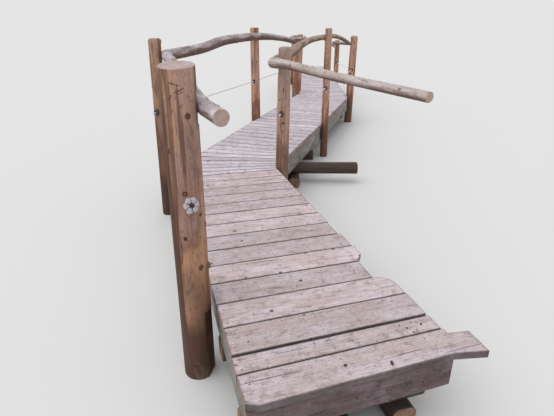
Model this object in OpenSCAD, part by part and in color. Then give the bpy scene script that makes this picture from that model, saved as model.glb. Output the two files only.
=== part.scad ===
// A timber footbridge of three straight sections with two bends: plank decks on stringers,
// hewn log cribs, round log posts, natural log handrails and taut rope mid-rails.
// Millimetres. The origin is on the ground under the middle of the near end, +Y runs on
// over the bridge, +X is to the right of someone who walks it and +Z is up.

/* [Walkway] */
// Height of the deck's top over the ground
deck_h = 450; // [420:10:900]
// Width of the near and middle sections
deck_w = 900; // [800:10:1200]
// Width of the far section
far_w = 800; // [720:10:1100]
// Length of the near section on its centre line
near_len = 2800; // [2600:50:3600]
// Length of the middle section on its centre line
mid_len = 4100; // [3900:50:5000]
// Length of the far section on its centre line
far_len = 4300; // [4200:50:5000]
// Degrees that the near section points to the left of +Y
near_turn = 16.5; // [10:0.5:22]
// Degrees that the middle section points to the right of +Y
mid_turn = 18.2; // [12:0.1:24]
// Degrees that the far section points to the right of +Y
far_turn = 0.7; // [0:0.1:6]

/* [Boards] */
// Thickness of a deck board
board_t = 38; // [30:1:50]
// Width of a common deck board before it is spread to fill its section
board_w = 174; // [130:1:230]
// Gap between deck boards
board_gap = 5; // [3:1:10]
// Width of a deck board of the middle and far sections before it is spread
far_board_w = 150; // [120:1:230]
// Far edge of the first board, from the near end along the deck's middle
front_board_w = 182; // [130:1:230]
// Width of the narrow second board
narrow_board_w = 104; // [80:1:180]
// Wide gap after the narrow second board
wide_gap = 14; // [5:1:25]
// How far the first board runs past the deck's right edge
front_board_over = 195; // [120:5:260]
// How far the narrow second board runs past the deck's right edge
narrow_board_over = 83; // [0:1:110]
// How much further along the near end is on the right than on the left
front_slant = 33; // [0:1:40]
// Corner sawn off the first board, along the board
clip_along = 50; // [20:5:90]
// Corner sawn off the first board, across the board
clip_across = 25; // [10:5:60]
// Boards that fan round the first bend
fan_one = 9; // [7:1:11]
// Boards that fan round the second bend
fan_two = 6; // [4:1:8]

/* [Stringers] */
// Thickness of a stringer and of the end headers
stringer_t = 38; // [30:1:60]
// Depth of a stringer
stringer_h = 184; // [140:1:220]
// How far the boards run out past the outer stringers
board_over = 12; // [8:1:20]
// Depth of the end headers
header_h = 140; // [100:1:180]
// How far the near header runs past the deck's right edge
header_over = 40; // [0:5:80]
// Gap where stringers meet at a bend
bend_gap = 4; // [2:1:8]

/* [Cribs] */
// Thickness of a log at its butt
crib_log_d = 142; // [125:1:180]
// Taper of a log over its length
crib_taper = 16; // [4:1:24]
// Distance between the two cross logs of a crib
crib_pitch = 490; // [350:10:700]
// Distance between the outer ground logs of a crib
ground_pitch = 640; // [400:10:800]
// Length of a ground log
ground_len = 900; // [800:10:1200]
// How far a common cross log runs past each deck edge
cross_over = 120; // [60:10:300]
// How far the near crib's cross logs stop short of each deck edge
near_short = 8; // [0:1:12]
// How far the long cross log at the first bend runs past each deck edge
long_over = 590; // [300:10:800]
// Place of the first bend's crib past the bend
bend_crib_at = 1120; // [900:10:1400]
// Place of the second bend's crib past the bend
second_crib_at = 650; // [600:10:900]
// Place of the far crib from the far end
far_crib_at = 350; // [330:10:600]

/* [Posts] */
// Diameter of the big near post
near_post_d = 170; // [130:1:190]
// Height of the big near post over the deck
near_post_up = 1174; // [1050:1:1300]
// Gap between the big near post and the deck's edge
near_post_gap = 14; // [8:1:40]
// Gap between the first bend's left post and the deck's edge
bend_post_gap = 40; // [8:1:60]
// Diameter of a common post
post_d = 120; // [104:1:140]
// Height of a common post over the deck
post_up = 1060; // [1020:5:1200]
// How much thinner a post is at its top
post_taper = 12; // [0:1:30]
// How far a post stands in over the deck's edge
post_in = 22; // [18:1:30]
// Height of the worn rounding at the top of a common post
post_round = 9; // [3:1:12]
// Depth of the flat that a rail is seated in
seat_cut = 8; // [4:1:12]
// Degrees that the big near post's sawn top slants to the near end
near_post_slant = 6; // [0:0.5:10]

/* [Rails] */
// Diameter of a handrail at its thick end
rail_d = 96; // [80:1:110]
// Diameter of a handrail at its thin end
rail_tip_d = 66; // [56:1:80]
// Height of the handrails' axes over the deck, where they are not bowed
rail_up = 1000; // [900:5:1000]
// How far a handrail's end runs past its last post
rail_past = 110; // [90:5:200]
// Free length of the near right handrail in front of its post
near_rail_reach = 1760; // [900:10:2000]
// Degrees that the near right handrail splays out from the near section
near_rail_splay = 13.5; // [5:0.5:20]

/* [Ropes] */
// Diameter of the rope mid-rails
rope_d = 12; // [8:1:16]
// Height of the left rope over the deck
rope_left_up = 480; // [400:5:600]
// Height of the right rope over the deck
rope_right_up = 520; // [400:5:600]
// Diameter of the stopper knots
knot_d = 34; // [24:1:40]

/* [Hidden] */
$fn = 48;

left = -1;
right = 1;
slack = 3;
over = 1;

// The three sections: 0 near, 1 middle, 2 far
headings = [-near_turn, mid_turn, far_turn];
lengths = [near_len, mid_len, far_len];
widths = [deck_w, deck_w, far_w];
function ahead(s) = [sin(headings[s]), cos(headings[s])];
function aside(s) = [cos(headings[s]), -sin(headings[s])];
starts = [[0, 0], near_len * ahead(0), near_len * ahead(0) + mid_len * ahead(1)];

// A place in plan, from a section, a distance along it and one to the right of its middle
function spot(s, along, across) = starts[s] + along * ahead(s) + across * aside(s);
function raised(p, z) = [p[0], p[1], z];
function unit(v) = v / norm(v);

// Where the line from p along d meets the line from q along e
function meet(p, d, q, e) = p + d * cross(q - p, e) / cross(d, e);

// Corner of the deck's edge at a bend, from the number of the section that starts there
function corner(bend, side) = meet(
    spot(bend - 1, 0, side * widths[bend - 1] / 2), ahead(bend - 1),
    spot(bend, 0, side * widths[bend] / 2), ahead(bend));

// How far along section s the bend's mitre is, on a line at a distance across
function mitre(s, bend, across) = ahead(s) * (meet(
    spot(s, 0, across), ahead(s),
    corner(bend, left), corner(bend, right) - corner(bend, left)) - starts[s]);

// Levels
under_boards = deck_h - board_t;
under_stringers = under_boards - stringer_h;
course = under_stringers / 2;
big = 4 * deck_w;

// Draws its children in a section's own directions, with +Y along it
module in_section(s, along = 0, across = 0) {
    translate(raised(spot(s, along, across), 0)) rotate([0, 0, -headings[s]]) children();
}

// Deck boards

fan_before_one = 180;
fan_after_one = 820;
fan_before_two = 330;
fan_after_two = 420;
fan_bow_left = -0.12;
fan_bow_right = -0.36;

// A share of a length, bowed so that the first steps are longer than the last ones
function eased(share, bow) = share + bow * share * (1 - share);

// The right end of a board from its far corner to its near one, with the far corner rounded
// and the near one sawn off, both where their sizes are given
function right_end(far, near, out, far_round, near_cut) =
    let (on = unit(far - near), heart = far - (on + out) * far_round)
    concat(
        far_round > 0 ? [for (a = [0:22.5:90]) heart + (on * cos(a) + out * sin(a)) * far_round] : [far],
        norm(near_cut) > 0 ? [near + on * near_cut[0], near - out * near_cut[1]] : [near]);

// One board between two joint lines, with its ends run out past the deck's edges
module board(l0, l1, r0, r1, out_left, out_right, gap0 = board_gap, gap1 = board_gap,
        far_round = 0, near_cut = [0, 0]) {
    far = r1 + unit(r0 - r1) * gap1 / 2 + unit(r1 - l1) * out_right;
    near = r0 + unit(r1 - r0) * gap0 / 2 + unit(r0 - l0) * out_right;
    translate([0, 0, under_boards]) linear_extrude(board_t) polygon(concat([
        l0 + unit(l1 - l0) * gap0 / 2 + unit(l0 - r0) * out_left,
        l1 + unit(l0 - l1) * gap1 / 2 + unit(l1 - r1) * out_left],
        right_end(far, near, unit(r0 - l0), far_round, near_cut)));
}

// How far a board's end is sawn short of or past the edge, never past a post's notch
function sawn(i, seed) = rands(-6, 4, 1, 31 * i + seed)[0];

// A row of square boards on section s, from one place along it to another
module board_row(s, from, to, seed) {
    count = round((to - from) / (far_board_w + board_gap));
    step = (to - from) / count;
    half = widths[s] / 2;
    for (i = [0:count - 1]) {
        a = from + i * step;
        b = a + step;
        board(spot(s, a, -half), spot(s, b, -half), spot(s, a, half), spot(s, b, half),
            sawn(i, seed), sawn(i, seed + 7));
    }
}

// A place on the edge that runs from a over the corner c to b, at a share of its length
function on_edge(a, c, b, share) =
    let (first = norm(c - a), run = share * (first + norm(b - c)))
    run <= first ? a + unit(c - a) * run : c + unit(b - c) * (run - first);

// Tapered boards that turn the deck round a bend
module fan(bend, before, after, count, seed, slant = 0, bow_left = 0, bow_right = 0) {
    function edge(side, i) = on_edge(
        spot(bend - 1, lengths[bend - 1] - before + side * slant / 2, side * widths[bend - 1] / 2),
        corner(bend, side),
        spot(bend, after, side * widths[bend] / 2), eased(i / count, side == left ? bow_left : bow_right));
    for (i = [0:count - 1])
        board(edge(left, i), edge(left, i + 1), edge(right, i), edge(right, i + 1),
            sawn(i, seed) / 2, sawn(i, seed + 5) / 2);
}

// How far the near section's common boards run past its right edge, as they were sawn
near_ends = [79, 76, -18, 37, 28, 8, 14, 7, 5, 4, 2, 2, 2];
ROUNDED = 1;
CLIPPED = 3;
round_corner = 90;
clipped_corner = [73, 57];
// The first board past the header: where its back edge steps in, by how much, and its end
step_at = 90;
step_in = 34;
over_near = 4;
over_far = 144;
// The near joints: how much they slant over the deck's width, and how their steps shorten
first_slant = 18;
last_slant = -30;
near_bow = 0.084;
first_joint = front_board_w + board_gap / 2;
wide_joint = front_board_w + board_gap + narrow_board_w + wide_gap / 2;
last_joint = near_len - fan_before_one;

// Where the near end's slanted face and the first board's back edge are, at a distance across
function near_front(across) = front_slant * (across / deck_w + 0.5);
function front_back(across) = front_board_w + first_slant * across / deck_w;
// An end of a near joint
function near_edge(side, along) = let (
    slant = first_slant + (last_slant - first_slant) * (along - first_joint) / (last_joint - first_joint))
    spot(0, along + side * slant / 2, side * deck_w / 2);

module front_board() {
    half = deck_w / 2;
    end = half + front_board_over;
    translate([0, 0, under_boards]) linear_extrude(board_t) polygon([
        spot(0, near_front(clip_along - half), clip_along - half), spot(0, clip_across, -half),
        spot(0, front_back(-half), -half), spot(0, front_back(half + step_at), half + step_at),
        spot(0, front_back(half + step_at) - step_in, half + step_at), spot(0, over_far, end),
        spot(0, over_near, end), spot(0, near_front(half + header_over), half + header_over)]);
}
// A board of the near section between two joints
module near_board(from, to, over_right, seed, gap0 = board_gap, gap1 = board_gap,
        far_round = 0, near_cut = [0, 0]) {
    board(near_edge(left, from), near_edge(left, to), near_edge(right, from), near_edge(right, to),
        rands(-2, 2, 1, seed)[0], over_right, gap0, gap1, far_round, near_cut);
}
module deck_near() {
    count = round((last_joint - wide_joint) / (board_w + board_gap));
    function joint(i) = wide_joint + (last_joint - wide_joint) * eased(i / count, near_bow);
    color([0.80, 0.73, 0.69]) {
        front_board();
        near_board(first_joint, wide_joint, narrow_board_over, 1, gap1 = wide_gap);
        for (i = [0:count - 1])
            near_board(joint(i), joint(i + 1), i < len(near_ends) ? near_ends[i] : 0, i + 2,
                i == 0 ? wide_gap : board_gap, board_gap,
                i == ROUNDED ? round_corner : 0, i == CLIPPED ? clipped_corner : [0, 0]);
    }
}
module deck_first_bend() {
    color([0.80, 0.73, 0.69]) fan(1, fan_before_one, fan_after_one, fan_one, 2,
        last_slant, fan_bow_left, fan_bow_right);
}
module deck_middle() {
    color([0.80, 0.73, 0.69]) board_row(1, fan_after_one, mid_len - fan_before_two, 5);
}
module deck_second_bend() {
    color([0.80, 0.73, 0.69]) fan(2, fan_before_two, fan_after_two, fan_two, 9);
}
module deck_far() {
    color([0.80, 0.73, 0.69]) board_row(2, fan_after_two, far_len, 13);
}

// Stringers and headers

// One stringer of section s whose middle is at a distance across, mitred at the bends
module stringer(s, across) {
    function start(u) = s == 0 ? near_front(u) + stringer_t : mitre(s, s, u) + bend_gap / 2;
    function end(u) = s == 2 ? far_len - stringer_t : mitre(s, s + 1, u) - bend_gap / 2;
    u0 = across - stringer_t / 2;
    u1 = across + stringer_t / 2;
    color([0.46, 0.48, 0.44]) in_section(s) translate([0, 0, under_stringers])
        linear_extrude(stringer_h)
            polygon([[u0, start(u0)], [u0, end(u0)], [u1, end(u1)], [u1, start(u1)]]);
}
function stringer_face(s) = widths[s] / 2 - board_over;
function stringer_place(s) = stringer_face(s) - stringer_t / 2;

module header_near() {
    end = deck_w / 2 + header_over;
    color([0.72, 0.62, 0.52]) in_section(0) translate([0, 0, under_boards - header_h])
        linear_extrude(header_h) polygon([
            [-deck_w / 2, 0], [end, near_front(end)],
            [end, near_front(end) + stringer_t], [-deck_w / 2, stringer_t]]);
}
module header_far() {
    color([0.72, 0.62, 0.52]) in_section(2, far_len - stringer_t)
        translate([-far_w / 2, 0, under_boards - header_h]) cube([far_w, stringer_t, header_h]);
}

// Cribs

// The near crib's middle ground log starts just in front of the near end, the others behind it
near_crib_at = ground_len / 2 - 20;
near_set_back = 110;

// A log along +X over the middle, hewn flat above and below to the height of one course
module hewn_log(length) {
    intersection() {
        translate([-length / 2, 0, course / 2]) rotate([0, 90, 0])
            cylinder(h = length, d1 = crib_log_d, d2 = crib_log_d - crib_taper);
        translate([-length, -crib_log_d, 0]) cube([2 * length, 2 * crib_log_d, course]);
    }
}
function crib_place(c) = [
    spot(0, near_crib_at, 0), spot(1, bend_crib_at, 0),
    spot(2, second_crib_at, 0), spot(2, far_len - far_crib_at, 0)][c];
function crib_heading(c) = [-near_turn, (mid_turn - near_turn) / 2, far_turn, far_turn][c];
module in_crib(c) {
    translate(raised(crib_place(c), 0)) rotate([0, 0, -crib_heading(c)]) children();
}
module ground_logs(c) {
    color([0.30, 0.23, 0.18]) in_crib(c) for (row = [-1, 0, 1])
        translate([row * ground_pitch / 2, c == 0 ? abs(row) * near_set_back : 0, 0])
            rotate([0, 0, 90]) hewn_log(ground_len);
}
module cross_logs(c, width, first_over, second_over) {
    color([0.36, 0.26, 0.19]) in_crib(c) translate([0, 0, course]) {
        translate([0, -crib_pitch / 2, 0]) rotate([0, 0, 180]) hewn_log(width + 2 * first_over);
        translate([0, crib_pitch / 2, 0]) hewn_log(width + 2 * second_over);
    }
}

// Posts

// Each post: section, side, place along it, thicker and taller than a common post by, further
// in over the deck by, lean to its section's right for each unit of height, height of its
// worn top
POSTS = [
    [0, left, 740, near_post_d - post_d, near_post_up - post_up, 0, 0.007, post_round],
    [0, left, near_len + 118, 5, 87, 0, 0.017, 18],
    [1, right, 194, 6, 16, 0, 0.0206, 22],
    [1, left, 2100, 6, 93, 0, 0, post_round],
    [1, right, 2060, -22, 100, -10, 0, 14],
    [1, left, mid_len - 4, -3, -93, 0, 0, post_round],
    [2, right, -60, 8, -90, -10, 0.0155, 24],
    [2, left, 500, -8, -96, 12, 0.03, post_round],
    [2, left, 2280, -4, -213, 0, 0, post_round],
    [2, right, 2050, -8, -285, 0, 0, post_round],
    [2, left, far_len - 150, -6, -300, 0, 0, post_round],
    [2, right, far_len - 170, -5, -300, 0, 0, post_round]];
near_post_drop = 12;
NEAR_LEFT = 0;
BEND_LEFT = 1;
BEND_RIGHT = 2;
MID_LEFT = 3;
MID_RIGHT = 4;
SECOND_LEFT = 5;
SECOND_RIGHT = 6;
FAR_NEAR_LEFT = 7;
FAR_MID_LEFT = 8;
FAR_MID_RIGHT = 9;
END_LEFT = 10;
END_RIGHT = 11;

function section_of(p) = POSTS[p][0];
function side_of(p) = POSTS[p][1];
function along_of(p) = POSTS[p][2];
function thick(p) = post_d + POSTS[p][3];
function tall(p) = post_up + POSTS[p][4];
function stands_out(p) = p == NEAR_LEFT ? near_post_gap
    : p == BEND_LEFT ? bend_post_gap : -post_in - POSTS[p][5];
function across_of(p) = side_of(p) * (widths[section_of(p)] / 2 + thick(p) / 2 + stands_out(p));
function lean(p) = POSTS[p][6] * aside(section_of(p));
// The middle of a post, at a height over the deck
function place(p, up = 0) = spot(section_of(p), along_of(p), across_of(p)) + up * lean(p);
// Radius of a post at a height over the deck
function post_r(p, up) = (thick(p) - post_taper * (deck_h + up) / (deck_h + tall(p))) / 2;

// The round log of a post with its worn top, sheared to its lean about the deck's level
module post_log(p) {
    full = deck_h + tall(p);
    worn = POSTS[p][7];
    top_r = post_r(p, tall(p));
    worn_in = min(2 * worn, 0.75 * top_r);
    translate(raised(place(p), 0))
        multmatrix([
            [1, 0, lean(p)[0], -deck_h * lean(p)[0]], [0, 1, lean(p)[1], -deck_h * lean(p)[1]],
            [0, 0, 1, 0], [0, 0, 0, 1]])
            rotate_extrude() polygon(concat(
                [[0, 0], [thick(p) / 2, 0]],
                [for (a = [0:30:90]) [top_r - worn_in * (1 - cos(a)), full - worn * (1 - sin(a))]],
                [[0, full]]));
}

// A section's outline in plan to a distance on either side, run out past its ends
module strip(s, half) {
    in_section(s) translate([-half, -big]) square([2 * half, lengths[s] + 2 * big]);
}
function notch_edge(s) = widths[s] / 2 + 8;
module stringer_notch() {
    translate([0, 0, under_stringers]) linear_extrude(stringer_h + over) children();
}
module board_notch() {
    translate([0, 0, under_boards]) linear_extrude(board_t + slack) children();
}
// What is notched out of a post for the boards and stringers of one section
module deck_notch(s) {
    stringer_notch() strip(s, stringer_face(s));
    board_notch() strip(s, notch_edge(s));
}
// What is notched out of a post that stands at the outer corner of a bend
module corner_notch(bend) {
    stringer_notch() intersection() {
        strip(bend - 1, stringer_face(bend - 1));
        strip(bend, stringer_face(bend));
    }
    board_notch() intersection() {
        strip(bend - 1, notch_edge(bend - 1));
        strip(bend, notch_edge(bend));
    }
}

// Rails

// The way from a post to the deck, square to its section
function inward(p) = -side_of(p) * aside(section_of(p));
// A rail's axis where the rail is seated on a post, with both cut flat
function beside(p, up, d, way) =
    concat(place(p, up) + way * (post_r(p, up) + d / 2 - 2 * seat_cut), [deck_h + up, d]);
function at(s, along, across, up, d) = concat(spot(s, along, across), [deck_h + up, d]);
function shifted(row, way, run) = concat([row[0], row[1]] + way * run, [row[2], row[3]]);

// How far from a post's axis a rail's seat is
function seat_reach(p, row) = post_r(p, row[2] - deck_h) - seat_cut;
// What a rail's seat cuts off the post
module seat(p, row, way) {
    depth = 2 * thick(p);
    translate(raised(place(p, row[2] - deck_h), row[2])) rotate([0, 0, atan2(way[1], way[0])])
        translate([seat_reach(p, row), -depth / 2, -row[3]]) cube([depth, depth, 2 * row[3]]);
}
// The same seat as a rail needs it: the point on the rail, the flat's plane and its distance
function flat(p, row, way) = [row, way, way * place(p, row[2] - deck_h) + seat_reach(p, row)];

function spread(a, b) = norm([b[0] - a[0], b[1] - a[1], b[2] - a[2]]);
// How a curve's rows change for each millimetre at one of its points
function pace(points, i) = let (a = max(i - 1, 0), b = min(i + 1, len(points) - 1))
    (points[b] - points[a]) / (spread(points[a], points[i]) + spread(points[i], points[b]));
// The shares of a stretch at which its rings stand, close beside its ends for the flats
function shares(run) = let (near = seat_half / run, n = max(2, round(run / ring_pitch)))
    run < 6 * seat_half ? [0, near]
    : concat([0, near, 2 * near], [for (j = [1:n - 1]) j / n], [1 - 2 * near, 1 - near]);
// Rows of place and diameter along a smooth curve through the points
function curve(points) = concat(
    [for (i = [0:len(points) - 2]) let (run = spread(points[i], points[i + 1])) each
        [for (t = shares(run)) let (u = 1 - t)
            points[i] * (1 + 2 * t) * u * u + pace(points, i) * run * t * u * u
            + points[i + 1] * t * t * (3 - 2 * t) - pace(points, i + 1) * run * t * t * u]],
    [points[len(points) - 1]]);

// Moves a ring's point, in the ring's own plane, out of the flats that are within reach of it
function hewn(v, middle, square, flats, i = 0) =
    i == len(flats) ? v
    : let (
        way = flats[i][1], gap = flats[i][2] - way * [v[0], v[1]],
        m = unit([-square[1], square[0]]),
        cut = gap > 0 && spread(middle, flats[i][0]) < seat_half * 1.1)
        hewn(cut ? v + raised(m * gap / (m * way), 0) : v, middle, square, flats, i + 1);

// A round log or rope along rows of place and diameter. Each ring is square to its run, an
// end is mitred to a plane where its square is given, and flats are hewn for what it rests on.
module swept(rows, sides, first_square = undef, last_square = undef, flats = []) {
    n = len(rows);
    function place_at(i) = [rows[i][0], rows[i][1], rows[i][2]];
    function run_at(i) = unit(
        unit(place_at(min(i + 1, n - 1)) - place_at(min(i, n - 2)))
        + unit(place_at(max(i, 1)) - place_at(max(i - 1, 0))));
    function square_at(i) =
        i == 0 && !is_undef(first_square) ? first_square
        : i == n - 1 && !is_undef(last_square) ? last_square : run_at(i);
    function ring(i) = let (
        run = run_at(i), square = square_at(i), out = unit(cross(run, [0, 0, 1])), up = cross(out, run))
        [for (k = [0:sides - 1]) let (
            a = 360 * k / sides, v = rows[i][3] / 2 * (cos(a) * out + sin(a) * up))
            hewn(place_at(i) + v - run * (v * square) / (run * square), rows[i], square, flats)];
    last = (n - 1) * sides;
    first_middle = n * sides;
    polyhedron(
        points = concat([for (i = [0:n - 1]) each ring(i)], [place_at(0), place_at(n - 1)]),
        faces = [for (k = [0:sides - 1]) let (m = (k + 1) % sides) each concat(
            [[first_middle, m, k], [first_middle + 1, last + k, last + m]],
            [for (i = [0:n - 2]) let (a = i * sides, b = a + sides)
                each [[a + k, b + m, b + k], [a + k, a + m, b + m]]])],
        convexity = 4);
}
rope_sides = 12;
rail_sides = 16;
seat_half = 38;
ring_pitch = 260;
module log_along(points, flats, first_square = undef, last_square = undef) {
    swept(curve(points), rail_sides, first_square, last_square, flats);
}

// The squares of the mitres where two rails meet at a bend's outer post
function bisector(bend) = raised(unit(ahead(bend - 1) + ahead(bend)), 0);

// Where each rail is seated on each post: place and diameter
rail_clear = 1;
inset = deck_w / 2 - 38;
far_inset = far_w / 2 - 38;
near_rail_way = -[cos(near_turn + near_rail_splay), sin(near_turn + near_rail_splay)];
near_rail_run = [sin(near_turn + near_rail_splay), -cos(near_turn + near_rail_splay)];
near_on_first = beside(NEAR_LEFT, rail_up - 14, rail_tip_d + 9, inward(NEAR_LEFT));
near_on_bend = beside(BEND_LEFT, rail_up + 8, rail_tip_d + 28, inward(BEND_LEFT));
mid_on_left = beside(MID_LEFT, rail_up + 48, rail_d - 6, inward(MID_LEFT));
mid_on_second = beside(SECOND_LEFT, rail_up - 168, rail_tip_d, inward(SECOND_LEFT));
far_lift = mid_on_second[3] / 2 + (rail_tip_d + 8) / 2 + rail_clear;
far_on_second = beside(SECOND_LEFT, rail_up - 168 + far_lift, rail_tip_d + 8, inward(SECOND_LEFT));
far_on_first = beside(FAR_NEAR_LEFT, rail_up - 100, rail_tip_d + 10, inward(FAR_NEAR_LEFT));
far_on_middle = beside(FAR_MID_LEFT, rail_up - 210, rail_tip_d + 16, inward(FAR_MID_LEFT));
far_on_end = beside(END_LEFT, rail_up - 295, rail_d - 6, inward(END_LEFT));
mid_on_right = beside(MID_RIGHT, rail_up + 56, rail_tip_d - 4, inward(MID_RIGHT));
mid_on_corner = beside(SECOND_RIGHT, rail_up - 152, rail_tip_d - 14, inward(SECOND_RIGHT));
far_on_right = beside(FAR_MID_RIGHT, rail_up - 266, rail_tip_d - 10, inward(FAR_MID_RIGHT));
end_drop = far_on_right[3] / 2 + rail_tip_d / 2 + rail_clear;
end_on_right = beside(FAR_MID_RIGHT, rail_up - 266 - end_drop, rail_tip_d, inward(FAR_MID_RIGHT));
end_on_end = beside(END_RIGHT, rail_up - 330, rail_tip_d + 12, inward(END_RIGHT));

// The near and middle right rails clasp the first bend's right post and meet round it
bend_rail_up = rail_up - 54;
bend_rail_d = rail_d - 4;
near_by_bend = beside(BEND_RIGHT, bend_rail_up, bend_rail_d, near_rail_way);
mid_by_bend = beside(BEND_RIGHT, bend_rail_up, bend_rail_d, inward(BEND_RIGHT));
right_corner = concat(
    meet([near_by_bend[0], near_by_bend[1]], near_rail_run, [mid_by_bend[0], mid_by_bend[1]], ahead(1)),
    [deck_h + bend_rail_up, bend_rail_d]);
right_square = raised(unit(ahead(1) - near_rail_run), 0);

rail_colour = [0.74, 0.68, 0.62];
module rail_near_left() {
    color(rail_colour) log_along([
        at(0, along_of(NEAR_LEFT) - 2 * rail_past, -inset + 12, rail_up - 20, rail_tip_d + 6),
        near_on_first,
        at(0, (along_of(NEAR_LEFT) + near_len) / 2, -inset - 34, rail_up + 4, rail_tip_d + 18),
        near_on_bend],
        [flat(NEAR_LEFT, near_on_first, inward(NEAR_LEFT)),
            flat(BEND_LEFT, near_on_bend, inward(BEND_LEFT))],
        last_square = bisector(1));
}
module rail_middle_left() {
    color(rail_colour) log_along([
        near_on_bend,
        at(1, mid_len * 0.11, -inset + 8, rail_up + 24, rail_d + 2),
        at(1, mid_len * 0.25, -inset, rail_up + 64, rail_d + 3),
        mid_on_left,
        at(1, mid_len * 0.75, -inset, rail_up - 30, rail_tip_d + 12),
        mid_on_second,
        shifted(mid_on_second, ahead(1), rail_past)],
        [flat(BEND_LEFT, near_on_bend, inward(BEND_LEFT)),
            flat(MID_LEFT, mid_on_left, inward(MID_LEFT)),
            flat(SECOND_LEFT, mid_on_second, inward(SECOND_LEFT))],
        first_square = bisector(1));
}
module rail_far_left() {
    color(rail_colour) log_along([
        shifted(far_on_second, ahead(1), -600) + [0, 0, 40, -2],
        far_on_second,
        far_on_first,
        at(2, far_len * 0.3, -far_inset + 10, rail_up - 150, rail_tip_d + 14),
        far_on_middle,
        at(2, far_len * 0.75, -far_inset, rail_up - 250, rail_d - 10),
        far_on_end,
        shifted(far_on_end, ahead(2), rail_past)],
        [flat(SECOND_LEFT, far_on_second, inward(SECOND_LEFT)),
            flat(FAR_NEAR_LEFT, far_on_first, inward(FAR_NEAR_LEFT)),
            flat(FAR_MID_LEFT, far_on_middle, inward(FAR_MID_LEFT)),
            flat(END_LEFT, far_on_end, inward(END_LEFT))]);
}
module rail_near_right() {
    color(rail_colour) log_along([
        right_corner,
        shifted(right_corner, near_rail_run, near_rail_reach * 0.17) + [0, 0, 2, -17],
        shifted(right_corner, near_rail_run, near_rail_reach / 2) + [0, 0, -16, -24],
        shifted(right_corner, near_rail_run, near_rail_reach) + [0, 0, -26, -28]],
        [flat(BEND_RIGHT, near_by_bend, near_rail_way)],
        first_square = right_square);
}
module rail_middle_right() {
    color(rail_colour) log_along([
        right_corner,
        at(1, mid_len * 0.18, inset - 14, rail_up - 20, rail_d + 2),
        at(1, mid_len * 0.3, inset - 40, rail_up + 20, rail_d - 16),
        at(1, mid_len * 0.4, inset - 34, rail_up + 48, rail_tip_d),
        mid_on_right,
        at(1, mid_len * 0.66, inset - 12, rail_up + 37, rail_tip_d - 6),
        at(1, mid_len * 0.76, inset - 10, rail_up + 3, rail_tip_d - 8),
        at(1, mid_len * 0.86, inset - 4, rail_up - 54, rail_tip_d - 11),
        mid_on_corner],
        [flat(BEND_RIGHT, mid_by_bend, inward(BEND_RIGHT)),
            flat(MID_RIGHT, mid_on_right, inward(MID_RIGHT)),
            flat(SECOND_RIGHT, mid_on_corner, inward(SECOND_RIGHT))],
        first_square = right_square, last_square = bisector(2));
}
module rail_far_right() {
    color(rail_colour) log_along([
        mid_on_corner,
        at(2, far_len * 0.25, far_inset - 6, rail_up - 215, rail_tip_d - 12),
        far_on_right,
        shifted(far_on_right, ahead(2), rail_past)],
        [flat(SECOND_RIGHT, mid_on_corner, inward(SECOND_RIGHT)),
            flat(FAR_MID_RIGHT, far_on_right, inward(FAR_MID_RIGHT))],
        first_square = bisector(2));
}
module rail_end_right() {
    color(rail_colour) log_along([
        shifted(end_on_right, ahead(2), -rail_past - 30),
        end_on_right,
        at(2, far_len * 0.72, far_inset, rail_up - 330, rail_tip_d + 8),
        end_on_end,
        shifted(end_on_end, ahead(2), rail_past)],
        [flat(FAR_MID_RIGHT, end_on_right, inward(FAR_MID_RIGHT)),
            flat(END_RIGHT, end_on_end, inward(END_RIGHT))]);
}

// Ropes

LEFT_ROPE_POSTS = [BEND_LEFT, MID_LEFT, SECOND_LEFT, FAR_NEAR_LEFT, FAR_MID_LEFT, END_LEFT];
RIGHT_ROPE_POSTS = [BEND_RIGHT, MID_RIGHT, SECOND_RIGHT, FAR_MID_RIGHT, END_RIGHT];
left_rope_lift = [60, 10, -10, -30, -80, -120];
right_rope_lift = [-10, -65, -86, -190, -220];

// The holes' middles where a rope runs through a row of posts
function rope_holes(posts, up, lift) =
    [for (i = [0:len(posts) - 1]) raised(place(posts[i], up + lift[i]), deck_h + up + lift[i])];
// A stopper knot and its tail, from the rope's last hole outwards: places and diameters
function knot(hole, p, way) = let (middle = hole + way * (thick(p) + knot_d) / 2) [
    for (step = [[-0.5, 0], [-0.35, 0.8], [0, 1], [0.35, 0.8], [0.5, 0], [1.6, 0]])
        concat(middle + way * step[0] * knot_d, [rope_d + step[1] * (knot_d - rope_d)])];
function reversed(rows) = [for (i = [len(rows) - 1:-1:0]) rows[i]];
// The way that a rope runs through one of its holes, and how far it runs straight on from there
function hole_way(holes, i) = let (n = len(holes)) unit(
    unit(holes[min(i + 1, n - 1)] - holes[min(i, n - 2)]) + unit(holes[max(i, 1)] - holes[max(i - 1, 0)]));
function straight(p) = thick(p) / 2 + rope_d / 2;
// A rope through a row of posts, with a stopper knot outside either end post
module rope(posts, holes) {
    n = len(posts);
    swept(concat(
        reversed(knot(holes[0], posts[0], -hole_way(holes, 0))),
        [for (i = [0:n - 1], e = [left, right]) if (i + e >= 0 && i + e < n)
            concat(holes[i] + e * straight(posts[i]) * hole_way(holes, i), [rope_d])],
        knot(holes[n - 1], posts[n - 1], hole_way(holes, n - 1))), rope_sides);
}
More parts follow.
